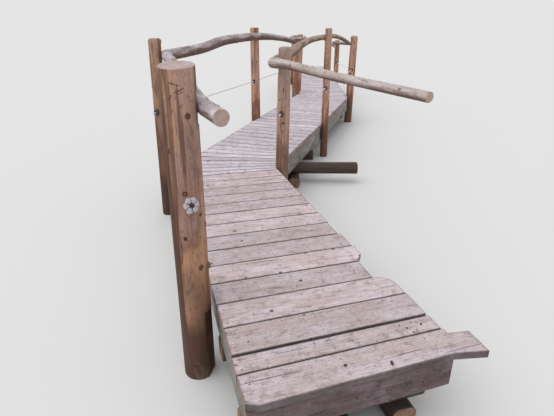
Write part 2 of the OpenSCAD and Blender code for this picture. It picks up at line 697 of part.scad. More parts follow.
// What is drilled out of a post for its rope
module rope_bore(posts, holes, p) {
    i = search(p, posts)[0];
    way = hole_way(holes, i);
    translate(holes[i] - way * thick(p)) rotate([0, acos(way[2]), atan2(way[1], way[0])])
        cylinder(h = 2 * thick(p), d = rope_d);
}
left_holes = rope_holes(LEFT_ROPE_POSTS, rope_left_up, left_rope_lift);
right_holes = rope_holes(RIGHT_ROPE_POSTS, rope_right_up, right_rope_lift);
module left_bore(p) {
    rope_bore(LEFT_ROPE_POSTS, left_holes, p);
}
module right_bore(p) {
    rope_bore(RIGHT_ROPE_POSTS, right_holes, p);
}
module rope_left() {
    color([0.88, 0.87, 0.82]) rope(LEFT_ROPE_POSTS, left_holes);
}
module rope_right() {
    color([0.88, 0.87, 0.82]) rope(RIGHT_ROPE_POSTS, right_holes);
}

// The posts, each notched for the deck, seated for its rails and drilled for its rope

module post(p) {
    color([0.62, 0.45, 0.33]) difference() {
        post_log(p);
        children();
    }
}
// What is hewn off the big near post's foot, on the side that faces the deck's near corner
recess_turn = 30;
recess_cut = 17;
recess_up = 8;
module foot_recess() {
    translate(raised(place(NEAR_LEFT), -over)) rotate([0, 0, near_turn - recess_turn])
        translate([near_post_d / 2 - recess_cut, -near_post_d, 0])
            cube([near_post_d, 2 * near_post_d, under_boards + recess_up + over]);
}
module post_near_left() {
    post(NEAR_LEFT) {
        seat(NEAR_LEFT, near_on_first, inward(NEAR_LEFT));
        foot_recess();
        translate(raised(place(NEAR_LEFT, near_post_up), deck_h + near_post_up - near_post_drop))
            rotate([near_post_slant, 0, 0]) translate([-near_post_d, -near_post_d, 0]) cube(2 * near_post_d);
    }
}
module post_first_bend_left() {
    post(BEND_LEFT) {
        seat(BEND_LEFT, near_on_bend, inward(BEND_LEFT));
        left_bore(BEND_LEFT);
    }
}
module post_first_bend_right() {
    post(BEND_RIGHT) {
        deck_notch(0);
        deck_notch(1);
        seat(BEND_RIGHT, near_by_bend, near_rail_way);
        seat(BEND_RIGHT, mid_by_bend, inward(BEND_RIGHT));
        right_bore(BEND_RIGHT);
    }
}
module post_middle_left() {
    post(MID_LEFT) {
        deck_notch(1);
        seat(MID_LEFT, mid_on_left, inward(MID_LEFT));
        left_bore(MID_LEFT);
    }
}
module post_middle_right() {
    post(MID_RIGHT) {
        deck_notch(1);
        seat(MID_RIGHT, mid_on_right, inward(MID_RIGHT));
        right_bore(MID_RIGHT);
    }
}
module post_second_bend_left() {
    post(SECOND_LEFT) {
        deck_notch(1);
        deck_notch(2);
        seat(SECOND_LEFT, mid_on_second, inward(SECOND_LEFT));
        seat(SECOND_LEFT, far_on_second, inward(SECOND_LEFT));
        left_bore(SECOND_LEFT);
    }
}
module post_second_bend_right() {
    post(SECOND_RIGHT) {
        corner_notch(2);
        seat(SECOND_RIGHT, mid_on_corner, inward(SECOND_RIGHT));
        right_bore(SECOND_RIGHT);
    }
}
module post_far_near_left() {
    post(FAR_NEAR_LEFT) {
        deck_notch(2);
        seat(FAR_NEAR_LEFT, far_on_first, inward(FAR_NEAR_LEFT));
        left_bore(FAR_NEAR_LEFT);
    }
}
module post_far_middle_left() {
    post(FAR_MID_LEFT) {
        deck_notch(2);
        seat(FAR_MID_LEFT, far_on_middle, inward(FAR_MID_LEFT));
        left_bore(FAR_MID_LEFT);
    }
}
module post_far_middle_right() {
    post(FAR_MID_RIGHT) {
        deck_notch(2);
        seat(FAR_MID_RIGHT, far_on_right, inward(FAR_MID_RIGHT));
        seat(FAR_MID_RIGHT, end_on_right, inward(FAR_MID_RIGHT));
        right_bore(FAR_MID_RIGHT);
    }
}
module post_far_end_left() {
    post(END_LEFT) {
        deck_notch(2);
        seat(END_LEFT, far_on_end, inward(END_LEFT));
        left_bore(END_LEFT);
    }
}
module post_far_end_right() {
    post(END_RIGHT) {
        deck_notch(2);
        seat(END_RIGHT, end_on_end, inward(END_RIGHT));
        right_bore(END_RIGHT);
    }
}

deck_near();
deck_first_bend();
deck_middle();
deck_second_bend();
deck_far();
header_near();
header_far();
stringer(0, -stringer_place(0));  // stringer_near_left
stringer(0, 0);  // stringer_near_middle
stringer(0, stringer_place(0));  // stringer_near_right
stringer(1, -stringer_place(1));  // stringer_middle_left
stringer(1, 0);  // stringer_middle_middle
stringer(1, stringer_place(1));  // stringer_middle_right
stringer(2, -stringer_place(2));  // stringer_far_left
stringer(2, 0);  // stringer_far_middle
stringer(2, stringer_place(2));  // stringer_far_right
ground_logs(0);  // crib_near_ground_logs
cross_logs(0, deck_w, -near_short, -near_short);  // crib_near_cross_logs
ground_logs(1);  // crib_first_bend_ground_logs
cross_logs(1, deck_w, long_over, cross_over);  // crib_first_bend_cross_logs
ground_logs(2);  // crib_second_bend_ground_logs
cross_logs(2, far_w, cross_over, cross_over);  // crib_second_bend_cross_logs
ground_logs(3);  // crib_far_ground_logs
cross_logs(3, far_w, cross_over, cross_over);  // crib_far_cross_logs
post_near_left();
post_first_bend_left();
post_first_bend_right();
post_middle_left();
post_middle_right();
post_second_bend_left();
post_second_bend_right();
post_far_near_left();
post_far_middle_left();
post_far_middle_right();
post_far_end_left();
post_far_end_right();
rail_near_left();
rail_middle_left();
rail_far_left();
rail_near_right();
rail_middle_right();
rail_far_right();
rail_end_right();
rope_left();
rope_right();
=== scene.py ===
"""Looks of a wooden footbridge: sawn boards, natural round logs, laid rope, fixings, floor and light.

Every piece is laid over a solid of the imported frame, so its place and size come from the frame.
Lengths are in metres, in the frame's own directions: +Y runs over the bridge and +Z is up.
"""

import enum
import functools
import logging
import math
import random
from collections.abc import Iterable, Sequence
from dataclasses import dataclass, field
from typing import Protocol

import bmesh
import bpy
import numpy as np
from mathutils import Matrix, Vector, noise
from mathutils.bvhtree import BVHTree


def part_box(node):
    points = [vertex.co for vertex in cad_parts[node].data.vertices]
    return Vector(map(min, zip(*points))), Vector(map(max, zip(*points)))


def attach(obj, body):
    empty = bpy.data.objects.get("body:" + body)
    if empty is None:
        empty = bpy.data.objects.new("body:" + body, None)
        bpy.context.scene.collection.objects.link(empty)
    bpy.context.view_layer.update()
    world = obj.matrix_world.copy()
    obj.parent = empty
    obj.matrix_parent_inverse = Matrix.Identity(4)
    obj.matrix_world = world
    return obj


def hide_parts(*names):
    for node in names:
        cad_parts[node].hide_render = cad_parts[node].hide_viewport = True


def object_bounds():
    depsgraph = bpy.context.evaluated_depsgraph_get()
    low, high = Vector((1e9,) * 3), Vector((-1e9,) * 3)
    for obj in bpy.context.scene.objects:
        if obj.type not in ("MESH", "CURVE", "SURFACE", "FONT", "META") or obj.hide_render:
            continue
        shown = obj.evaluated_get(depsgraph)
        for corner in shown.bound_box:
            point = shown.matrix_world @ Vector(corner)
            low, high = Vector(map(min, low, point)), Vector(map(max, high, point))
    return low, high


LOG = logging.getLogger("footbridge")
BODY = "root"
UP = Vector((0.0, 0.0, 1.0))
OVER_BRIDGE = Vector((0.0, 1.0, 0.0))
TO_RIGHT = Vector((1.0, 0.0, 0.0))
MILLIMETRE = 0.001
HAIR = 1e-5
LEVEL = 0.999
PATTERN_REACH = 50
GRAIN = "grain"
TONE = "tone"
# Each vertex's darkness: weathering on logs, and painted shade on board sides and rims, hewn recesses, shaded
# sides and undersides.
WEATHER_AND_SHADE = "weather"
NUMBER = "NodeSocketFloat"
VECTOR = "NodeSocketVector"
WOOD_SPECULAR = 0.3

Colour = tuple[float, float, float, float]
Profile = tuple[tuple[float, float], ...]
Spot = tuple[Vector, Vector]
Socket = bpy.types.NodeSocket
Sockets = bpy.types.bpy_prop_collection
Node = bpy.types.Node
Tree = bpy.types.NodeTree
Material = bpy.types.Material
Mesh = bmesh.types.BMesh
Ring = list[bmesh.types.BMVert]

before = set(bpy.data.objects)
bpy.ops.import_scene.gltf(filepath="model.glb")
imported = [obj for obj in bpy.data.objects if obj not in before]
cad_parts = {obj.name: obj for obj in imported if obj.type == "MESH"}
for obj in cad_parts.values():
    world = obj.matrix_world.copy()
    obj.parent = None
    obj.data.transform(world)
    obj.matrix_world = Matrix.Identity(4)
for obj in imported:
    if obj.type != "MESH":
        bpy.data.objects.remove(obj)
CAD_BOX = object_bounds()


def srgb(red: int, green: int, blue: int) -> Colour:
    """Turns an 8-bit screen colour into the linear colour that a shader takes.

    Args:
        red: Red, from 0 to 255.
        green: Green, from 0 to 255.
        blue: Blue, from 0 to 255.

    Returns:
        The linear colour, with an alpha of 1.
    """
    knee, slope, offset, power = 0.04045, 12.92, 0.055, 2.4
    channels = []
    for value in (red / 255, green / 255, blue / 255):
        channels.append(value / slope if value <= knee else ((value + offset) / (1 + offset)) ** power)
    return (channels[0], channels[1], channels[2], 1.0)


def held(value: float) -> float:
    """Returns a value held from 0 to 1."""
    return min(max(value, 0.0), 1.0)


class Exposure(enum.Enum):
    """How a log lies, which sets where it is bleached and where it stays dark; the dark is partly weathering
    and partly painted shade.
    """

    UPRIGHT = "bleached at the top, dark at the foot"
    LYING = "bleached above, dark below"
    SHADED = "dark all over"


class Grove:
    """A hand for laying out the nodes of one shader or group tree."""

    MIX_INPUTS = (0, 6, 7)
    MIX_RESULT = 2

    def __init__(self, tree: Tree) -> None:
        """Keeps the tree that the nodes go into."""
        self.tree = tree

    def node(self, kind: str, **settings: object) -> Node:
        """Adds a node.

        Args:
            kind: The node's type name.
            **settings: Properties to set on the node.

        Returns:
            The new node.
        """
        made = self.tree.nodes.new(kind)
        for name, value in settings.items():
            setattr(made, name, value)
        return made

    def feed(self, socket: Socket, value: object) -> None:
        """Links an output to a socket, or sets the socket to a constant.

        Args:
            socket: The input socket.
            value: An output socket, a number or a sequence of numbers.
        """
        if isinstance(value, Socket):
            self.tree.links.new(value, socket)
        else:
            socket.default_value = value

    def fill(self, node: Node, **values: object) -> Node:
        """Feeds a node's inputs.

        Args:
            node: The node.
            **values: Inputs by name, with underscores for spaces.

        Returns:
            The same node.
        """
        for name, value in values.items():
            self.feed(node.inputs[name.replace("_", " ")], value)
        return node

    def place(self, group: Tree, **values: object) -> Sockets:
        """Places a node group with its own values.

        Args:
            group: The group's tree.
            **values: Inputs by name, with underscores for spaces.

        Returns:
            The group node's outputs.
        """
        placed = self.node("ShaderNodeGroup")
        placed.node_tree = group
        return self.fill(placed, **values).outputs

    def stretch(self, vector: Socket, length: float) -> Socket:
        """Returns coordinates that draw a pattern out along Z."""
        mapping = self.fill(self.node("ShaderNodeMapping"), Vector=vector, Scale=(1.0, 1.0, length))
        return mapping.outputs["Vector"]

    def cloud(self, vector: Socket, scale: object, detail: float = 3.0, roughness: float = 0.55,
              warp: float = 0.0) -> Socket:
        """Returns a noise value from 0 to 1."""
        return self.fill(self.node("ShaderNodeTexNoise"), Vector=vector, Scale=scale, Detail=detail,
                         Roughness=roughness, Distortion=warp).outputs["Fac"]

    def maths(self, operation: str, *values: object) -> Socket:
        """Adds a Math node.

        Args:
            operation: The Math node's operation.
            *values: One to three inputs.

        Returns:
            Its result.
        """
        sum_node = self.node("ShaderNodeMath", operation=operation)
        for socket, value in zip(sum_node.inputs, values):
            self.feed(socket, value)
        return sum_node.outputs["Value"]

    def vectors(self, operation: str, first: object, second: object) -> Socket:
        """Adds a Vector Math node.

        Args:
            operation: The node's operation.
            first: The first vector.
            second: The second vector.

        Returns:
            Its result.
        """
        made = self.node("ShaderNodeVectorMath", operation=operation)
        for socket, value in zip(made.inputs, (first, second)):
            self.feed(socket, value)
        return made.outputs["Vector"]

    def heap(self, *shares: tuple[Socket, float]) -> Socket:
        """Returns a sum of values, each of them times its share."""
        scaled = [self.maths("MULTIPLY", value, share) for value, share in shares]
        return functools.reduce(lambda total, more: self.maths("ADD", total, more), scaled)

    def window(self, value: object, low: float, high: float, bottom: float = 0.0, top: float = 1.0) -> Socket:
        """Lets a value rise smoothly from bottom to top between low and high.

        Args:
            value: The value to map.
            low: Where the rise starts.
            high: Where it ends.
            bottom: The result below the rise.
            top: The result above it.

        Returns:
            The mapped value.
        """
        ranged = self.node("ShaderNodeMapRange", interpolation_type="SMOOTHSTEP")
        return self.fill(
            ranged, Value=value, From_Min=low, From_Max=high, To_Min=bottom, To_Max=top).outputs["Result"]

    def blend(self, factor: object, first: object, second: object, kind: str = "MIX") -> Socket:
        """Mixes two colours.

        Args:
            factor: Share of the second colour.
            first: The first colour.
            second: The second colour.
            kind: How they are mixed.

        Returns:
            The mixed colour.
        """
        mixer = self.node("ShaderNodeMix", data_type="RGBA", blend_type=kind)
        for number, value in zip(self.MIX_INPUTS, (factor, first, second)):
            self.feed(mixer.inputs[number], value)
        return mixer.outputs[self.MIX_RESULT]

    def tint(self, body: object, mask: Socket, share: float, colour: Colour) -> Socket:
        """Returns a colour with another one laid over it."""
        return self.blend(self.maths("MULTIPLY", mask, share), body, colour)

    def attribute(self, name: str, output: str = "Fac") -> Socket:
        """Returns an attribute of the piece."""
        return self.node("ShaderNodeAttribute", attribute_name=name).outputs[output]

    def skin(self) -> tuple[Socket, Socket, Socket]:
        """Returns the piece's grain coordinates, its tone, and its darkness from weathering and from painted
        shade.
        """
        return self.attribute(GRAIN, "Vector"), self.attribute(TONE), self.attribute(WEATHER_AND_SHADE)

    def parts(self, vector: Socket) -> Sockets:
        """Returns a vector's X, Y and Z outputs."""
        return self.fill(self.node("ShaderNodeSeparateXYZ"), Vector=vector).outputs

    def from_heart(self, place: Sockets) -> Socket:
        """Returns the distance from the coordinates' Z axis, where a log has its heart."""
        squares = [self.maths("POWER", place[side], 2.0) for side in ("X", "Y")]
        return self.maths("SQRT", self.maths("ADD", *squares))

    def wave(self, run: Socket, scale: Socket) -> Socket:
        """Returns a wave from 0 to 1."""
        angle = self.maths("MULTIPLY", run, self.maths("MULTIPLY", scale, math.tau))
        return self.maths("ADD", self.maths("MULTIPLY", self.maths("SINE", angle), 0.5), 0.5)

    def dress(self, shader: Node, colour: Socket, roughness: Socket, height: Socket, strength: float,
              depth: float, specular: float = WOOD_SPECULAR) -> None:
        """Gives a shader its colour, roughness, gloss and relief.

        Args:
            shader: The Principled shader.
            colour: The colour.
            roughness: The roughness.
            height: The relief's height, mostly from 0 to 1.
            strength: How strong the relief is.
            depth: How deep it is, in metres.
            specular: The shader's specular level.
        """
        bump = self.fill(self.node("ShaderNodeBump"), Strength=strength, Distance=depth, Height=height)
        self.fill(shader, Base_Color=colour, Roughness=roughness, Specular_IOR_Level=specular,
                  Normal=bump.outputs["Normal"])


def new_group(name: str, inputs: Sequence[tuple[str, str, object]], outputs: Sequence[str],
              ) -> tuple[Grove, Sockets, Node]:
    """Makes an empty node group with its sockets.

    Args:
        name: The group's name.
        inputs: Name, socket type and default of each input.
        outputs: Name of each output, which are all numbers.

    Returns:
        A hand for its tree, what goes into it and its output node.
    """
    tree = bpy.data.node_groups.new(name, "ShaderNodeTree")
    for label, kind, default in inputs:
        socket = tree.interface.new_socket(label, in_out="INPUT", socket_type=kind)
        if default is not None:
            socket.default_value = default
    for label in outputs:
        tree.interface.new_socket(label, in_out="OUTPUT", socket_type=NUMBER)
    grove = Grove(tree)
    return grove, grove.node("NodeGroupInput").outputs, grove.node("NodeGroupOutput")


class WoodEffects:
    """The effects that the wood finishes share, each built once as a node group."""

    FIBRE_LENGTH = 0.035
    RING_LENGTH = 0.11
    RING_WANDER = 0.05
    KNOT_SHAKE = 0.012
    SHAKE_SCALE = 45.0
    BLADE_TILT = 0.18
    BLADE_WANDER = 0.02

    def __init__(self) -> None:
        """Builds the groups."""
        self.fibre = self._fibre()
        self.knots = self._knots("Log knots", "3D")
        self.board_knots = self._knots("Board knots", "2D")
        self.patches = self._patches()
        self.saw = self._saw()

    def _fibre(self) -> Tree:
        """Makes the group of long wood fibres and growth rings that run along the coordinates' Z.

        Returns:
            The group's tree.
        """
        grove, given, result = new_group(
            "Wood fibre", [("Coordinates", VECTOR, None), ("Fibre Scale", NUMBER, 260.0),
            ("Ring Scale", NUMBER, 120.0)], ["Fibre", "Rings"])
        where = given["Coordinates"]
        fibre = grove.cloud(grove.stretch(where, self.FIBRE_LENGTH), given["Fibre Scale"], 4.0, 0.65)
        wander = grove.cloud(grove.stretch(where, self.RING_LENGTH), 9.0, 2.0, 0.5)
        heart = grove.from_heart(grove.parts(where))
        depth = grove.maths("ADD", heart, grove.maths("MULTIPLY", wander, self.RING_WANDER))
        grove.fill(result, Fibre=fibre, Rings=grove.wave(depth, given["Ring Scale"]))
        return grove.tree

    def _knots(self, name: str, dimensions: str) -> Tree:
        """Makes a group of scattered round knots, with their dark rims.

        Args:
            name: The group's name.
            dimensions: 3D for knots through a log, or 2D for knots over the coordinates' X and Y.

        Returns:
            The group's tree.
        """
        grove, given, result = new_group(
            name, [("Coordinates", VECTOR, None), ("Scale", NUMBER, 5.0), ("Share", NUMBER, 0.3),
            ("Size", NUMBER, 0.08)], ["Knot", "Rim"])
        where = given["Coordinates"]
        shake = grove.fill(grove.node("ShaderNodeTexNoise"), Vector=where, Scale=self.SHAKE_SCALE)
        small = grove.vectors("MULTIPLY", shake.outputs["Color"], [self.KNOT_SHAKE] * 3)
        cells = grove.fill(
            grove.node("ShaderNodeTexVoronoi", feature="F1", voronoi_dimensions=dimensions),
            Vector=grove.vectors("ADD", where, small), Scale=given["Scale"])
        dice = grove.fill(grove.node("ShaderNodeSeparateColor"), Color=cells.outputs["Color"]).outputs
        chosen = grove.maths("LESS_THAN", dice["Red"], given["Share"])
        size = grove.maths("MULTIPLY", given["Size"], grove.maths("ADD", dice["Green"], 0.5))
        reach = grove.maths("DIVIDE", cells.outputs["Distance"], size)
        grove.fill(result, Knot=grove.maths("MULTIPLY", grove.window(reach, 0.8, 1.0, 1.0, 0.0), chosen),
                   Rim=grove.maths("MULTIPLY", grove.window(reach, 1.0, 1.9, 1.0, 0.0), chosen))
        return grove.tree

    def _patches(self) -> Tree:
        """Makes the group of irregular patches, such as bark left on a peeled log.

        Returns:
            The group's tree.
        """
        grove, given, result = new_group(
            "Ragged patches", [("Coordinates", VECTOR, None), ("Scale", NUMBER, 8.0),
            ("Length", NUMBER, 0.35), ("Cover", NUMBER, 0.5)], ["Mask"])
        size = grove.fill(grove.node("ShaderNodeCombineXYZ"), X=1.0, Y=1.0, Z=given["Length"])
        drawn = grove.vectors("MULTIPLY", given["Coordinates"], size.outputs["Vector"])
        broad = grove.cloud(drawn, given["Scale"], 6.0, 0.62, 0.6)
        over = grove.maths("SUBTRACT", broad, grove.maths("SUBTRACT", 1.0, given["Cover"]))
        grove.fill(result, Mask=grove.window(over, -0.03, 0.05))
        return grove.tree

    def _saw(self) -> Tree:
        """Makes the group of the saw blade's marks across a sawn face.

        Returns:
            The group's tree.
        """
        grove, given, result = new_group(
            "Saw marks", [("Coordinates", VECTOR, None), ("Pitch", NUMBER, 140.0)], ["Marks"])
        where = given["Coordinates"]
        tilted = grove.fill(grove.node("ShaderNodeMapping"), Vector=where, Rotation=(0.0, self.BLADE_TILT, 0.0))
        wander = grove.maths("MULTIPLY", grove.cloud(where, 14.0, 2.0), self.BLADE_WANDER)
        run = grove.maths("ADD", grove.parts(tilted.outputs["Vector"])["Z"], wander)
        faint = grove.window(grove.cloud(where, 11.0, 3.0), 0.36, 0.6)
        grove.fill(result, Marks=grove.maths("MULTIPLY", grove.wave(run, given["Pitch"]), faint))
        return grove.tree


def new_material(name: str) -> tuple[Material, Grove, Node]:
    """Makes a material with a plain Principled shader.

    Args:
        name: The material's name.

    Returns:
        The material, a hand for its tree and its shader node.
    """
    made = bpy.data.materials.new(name)
    made.use_nodes = True
    return made, Grove(made.node_tree), made.node_tree.nodes["Principled BSDF"]


@dataclass(frozen=True)
class SawnFinish:
    """Rough sawn softwood: its face, its side faces darkened with painted shade, its streaks, saw marks and
    knots.
    """

    name: str
    pale: Colour
    warm: Colour
    dark: Colour
    # The side colour is painted shade, mixed into the side faces and top rims so the gaps between boards read
    # dark.
    side: Colour
    knot: Colour = srgb(70, 46, 40)
    saw_pitch: float = 115.0
    saw_strength: float = 0.2
    smudges: float = 0.5
    on_edge: bool = False
    ring_scale: float = 95.0
    fibre_scale: float = 170.0
    roughness: float = 0.78
    relief: float = 0.0016
    tones: tuple[float, float] = (0.86, 1.06)

    def make(self, effects: WoodEffects) -> Material:
        """Makes the material.

        Args:
            effects: The shared wood effects.

        Returns:
            The material.
        """
        material, grove, shader = new_material(self.name)
        grain, tone, weather = grove.skin()
        wood = grove.place(
            effects.fibre, Coordinates=grain, Ring_Scale=self.ring_scale, Fibre_Scale=self.fibre_scale)
        place = grove.parts(grain)
        face = grove.fill(
            grove.node("ShaderNodeCombineXYZ"), X=place["Y" if self.on_edge else "X"],
            Y=place["Z"]).outputs["Vector"]
        knots = grove.place(effects.board_knots, Coordinates=face, Scale=5.6, Share=0.42, Size=0.046)
        pins = grove.place(effects.board_knots, Coordinates=face, Scale=14.0, Share=0.11, Size=0.05)
        marks = grove.place(effects.saw, Coordinates=grain, Pitch=self.saw_pitch)["Marks"]
        stain = grove.cloud(grove.stretch(grain, 0.3), 11.0, 5.0, 0.65)
        mottle = grove.cloud(grove.stretch(grain, 0.6), 70.0, 6.0, 0.75)
        smudge = grove.cloud(grove.stretch(grain, 0.75), 26.0, 6.0, 0.72)
        specks = grove.window(grove.cloud(grain, 150.0, 2.0, 0.5), 0.64, 0.7, 0.0, 0.6)
        checks = grove.window(grove.cloud(grove.stretch(grain, 0.03), 75.0, 2.0, 0.5), 0.68, 0.71, 0.0, 0.6)
        body = grove.blend(grove.window(stain, 0.4, 0.62), self.pale, self.warm)
        body = grove.blend(grove.window(mottle, 0.5, 0.7, 0.0, 0.5), body, self.dark)
        body = grove.blend(grove.window(smudge, 0.5, 0.66, 0.0, self.smudges), body, self.dark)
        body = grove.tint(body, grove.window(wood["Fibre"], 0.46, 0.72), 0.28, self.dark)
        body = grove.tint(body, grove.window(wood["Rings"], 0.55, 1.0), 0.16, self.dark)
        body = grove.tint(body, marks, self.saw_strength, self.dark)
        body = grove.blend(specks, body, self.knot)
        body = grove.blend(checks, body, self.knot)
        for spots, halo in ((knots, 0.4), (pins, 0.25)):
            body = grove.tint(body, spots["Rim"], halo, self.dark)
            body = grove.tint(body, spots["Knot"], 0.85, self.knot)
        body = grove.blend(1.0, body, grove.window(tone, 0.0, 1.0, *self.tones), "MULTIPLY")
        # Painted shade: side faces and top rims go towards the side colour as far as each vertex's darkness
        # says.
        shade = grove.maths("MULTIPLY", weather, grove.window(stain, 0.3, 0.7, 0.74, 0.9))
        body = grove.blend(shade, body, self.side)
        rough = grove.window(wood["Fibre"], 0.3, 0.8, self.roughness - 0.08, self.roughness + 0.1)
        height = grove.heap((wood["Fibre"], 0.6), (marks, -0.5), (checks, -1.0), (knots["Rim"], -0.4))
        grove.dress(shader, body, rough, height, 0.6, self.relief)
        return material


@dataclass(frozen=True)
class LogFinish:
    """A round log's skin: peeled wood, inner bark in streaks, bark left in patches, bleached tops, and sides
    darkened by moisture and by painted shade.
    """

    name: str
    wood: Colour
    shade: Colour
    bleached: Colour
    # The dark colour mixed in by each vertex's darkness, for moisture and for painted shade.
    damp_and_shade: Colour
    streak: Colour
    bark: Colour
    bark_cover: float
    streak_cover: float
    knot: Colour = srgb(52, 34, 28)
    bleach: float = 0.8
    fibre_scale: float = 130.0
    patch_scale: float = 18.0
    streak_scale: float = 30.0
    streak_length: float = 0.09
    bark_scale: float = 9.0
    bark_length: float = 0.4
    roughness: float = 0.68
    relief: float = 0.0022
    tones: tuple[float, float] = (0.88, 1.06)

    def make(self, effects: WoodEffects) -> Material:
        """Makes the material.

        Args:
            effects: The shared wood effects.

        Returns:
            The material.
        """
        material, grove, shader = new_material(self.name)
        grain, tone, weather = grove.skin()
        fibre = grove.place(effects.fibre, Coordinates=grain, Fibre_Scale=self.fibre_scale)["Fibre"]
        pins = grove.place(effects.knots, Coordinates=grain, Scale=17.0, Share=0.14, Size=0.12)
        streaks = grove.place(
            effects.patches, Coordinates=grain, Scale=self.streak_scale, Length=self.streak_length,
            Cover=self.streak_cover)["Mask"]
        bark = grove.place(
            effects.patches, Coordinates=grain, Scale=self.bark_scale, Length=self.bark_length,
            Cover=self.bark_cover)["Mask"]
        broad = grove.cloud(grove.stretch(grain, 0.25), self.patch_scale, 6.0, 0.62)
        mottle = grove.cloud(grove.stretch(grain, 0.5), 62.0, 5.0, 0.7)
        body = grove.blend(grove.window(broad, 0.45, 0.55), self.wood, self.shade)
        pale = grove.maths(
            "MULTIPLY", grove.window(weather, 0.08, 0.38, self.bleach, 0.0),
            grove.window(broad, 0.36, 0.58, 0.4, 1.0))
        body = grove.blend(pale, body, self.bleached)
        # Moisture and painted shade: darker where the darkness value is high.
        body = grove.blend(grove.window(weather, 0.4, 0.68, 0.0, 0.93), body, self.damp_and_shade)
        body = grove.tint(body, grove.window(mottle, 0.52, 0.66), 0.52, self.streak)
        body = grove.tint(body, grove.window(fibre, 0.47, 0.7), 0.36, self.streak)
        body = grove.tint(body, streaks, 0.72, self.streak)
        cover = grove.maths("MULTIPLY", bark, grove.window(weather, 0.1, 0.6, 0.35, 0.92))
        body = grove.blend(cover, body, self.bark)
        body = grove.tint(body, pins["Rim"], 0.45, self.streak)
        body = grove.tint(body, pins["Knot"], 0.9, self.knot)
        body = grove.blend(1.0, body, grove.window(tone, 0.0, 1.0, *self.tones), "MULTIPLY")
        rough = grove.window(bark, 0.0, 1.0, self.roughness, self.roughness + 0.2)
        height = grove.heap((fibre, 0.5), (bark, 0.5), (streaks, -0.5), (pins["Knot"], -0.5))
        grove.dress(shader, body, rough, height, 0.7, self.relief)
        return material


@dataclass(frozen=True)
class KnotFinish:
    """A branch knot: its core, its dark rim and its collar, read from the middle outwards."""

    name: str
    core: Colour
    rim: Colour
    collar: Colour
    core_share: float = 0.5
    star: float = 0.0
    relief: float = 0.0012
    RAGGED = 0.3
    RAYS = 3.0

    def make(self, effects: WoodEffects) -> Material:
        """Makes the material.

        Args:
            effects: The shared effects, whose fibre roughens the knot.

        Returns:
            The material.
        """
        material, grove, shader = new_material(self.name)
        grain = grove.attribute(GRAIN, "Vector")
        place = grove.parts(grain)
        ragged = grove.cloud(grain, 3.2, 3.0, 0.6)
        share = grove.maths("ADD", grove.from_heart(place), grove.maths("MULTIPLY", ragged, self.RAGGED))
        share = grove.maths("SUBTRACT", share, self.RAGGED / 2)
        edge = self.core_share
        body = grove.blend(grove.window(share, edge - 0.12, edge), self.core, self.rim)
        body = grove.blend(grove.window(share, edge + 0.06, edge + 0.3), body, self.collar)
        fine = grove.place(effects.fibre, Coordinates=grain, Fibre_Scale=14.0, Ring_Scale=3.5)
        body = grove.tint(body, grove.window(fine["Rings"], 0.4, 1.0), 0.35, self.rim)
        bent = grove.maths(
            "ADD", grove.maths("ARCTAN2", place["Y"], place["X"]), grove.maths("MULTIPLY", ragged, 0.9))
        rays = grove.maths("ABSOLUTE", grove.maths("SINE", grove.maths("MULTIPLY", bent, self.RAYS)))
        open_rays = grove.window(grove.maths("MULTIPLY", rays, share), 0.08, 0.16, self.star, 0.0)
        body = grove.blend(open_rays, body, self.rim)
        rough = grove.window(fine["Fibre"], 0.2, 0.8, 0.7, 0.9)
        grove.dress(shader, body, rough, grove.maths("SUBTRACT", fine["Fibre"], open_rays), 0.6, self.relief)
        return material


@dataclass(frozen=True)
class CutEndFinish:
    """Sawn end grain of a log or board: its growth rings and blotches."""

    name: str
    pale: Colour
    ring: Colour
    heart: Colour
    ring_scale: float = 160.0
    relief: float = MILLIMETRE
    specular: float = 0.25

    def make(self, effects: WoodEffects) -> Material:
        """Makes the material.

        Args:
            effects: The shared wood effects.

        Returns:
            The material.
        """
        material, grove, shader = new_material(self.name)
        grain = grove.attribute(GRAIN, "Vector")
        rings = grove.place(effects.fibre, Coordinates=grain, Ring_Scale=self.ring_scale)["Rings"]
        blotch = grove.cloud(grain, 30.0, 4.0, 0.6)
        body = grove.blend(grove.window(blotch, 0.35, 0.7), self.pale, self.heart)
        body = grove.tint(body, grove.window(rings, 0.35, 1.0), 0.5, self.ring)
        rough = grove.window(blotch, 0.2, 0.8, 0.75, 0.92)
        grove.dress(shader, body, rough, rings, 0.45, self.relief, self.specular)
        return material


@dataclass(frozen=True)
class RopeFinish:
    """Laid rope, with painted shade down in the grooves between its strands, and dirt and painted shade at its
    knots.
    """

    name: str
    strand: Colour
    # The groove colour is painted shade between the strands, and also tints the dirt.
    groove: Colour
    soil_and_shade: Colour = srgb(58, 46, 42)
    fibre_scale: float = 1400.0
    relief: float = 0.0004
    specular: float = 0.5

    def make(self, effects: WoodEffects) -> Material:
        """Makes the material.

        Args:
            effects: The shared effects, whose fibre runs along the strands.

        Returns:
            The material.
        """
        material, grove, shader = new_material(self.name)
        grain, depth, soiled_and_shaded = grove.skin()
        yarn = grove.place(effects.fibre, Coordinates=grain, Fibre_Scale=self.fibre_scale)["Fibre"]
        dirt = grove.cloud(grain, 9.0, 4.0, 0.6)
        # Painted shade: darker down in the grooves.
        body = grove.blend(depth, self.strand, self.groove)
        body = grove.tint(body, grove.window(dirt, 0.45, 0.75), 0.35, self.groove)
        # Dirt and painted shade at the stopper knots.
        body = grove.blend(soiled_and_shaded, body, self.soil_and_shade)
        grove.dress(shader, body, grove.window(yarn, 0.2, 0.8, 0.7, 0.9), yarn, 0.4, self.relief, self.specular)
        return material


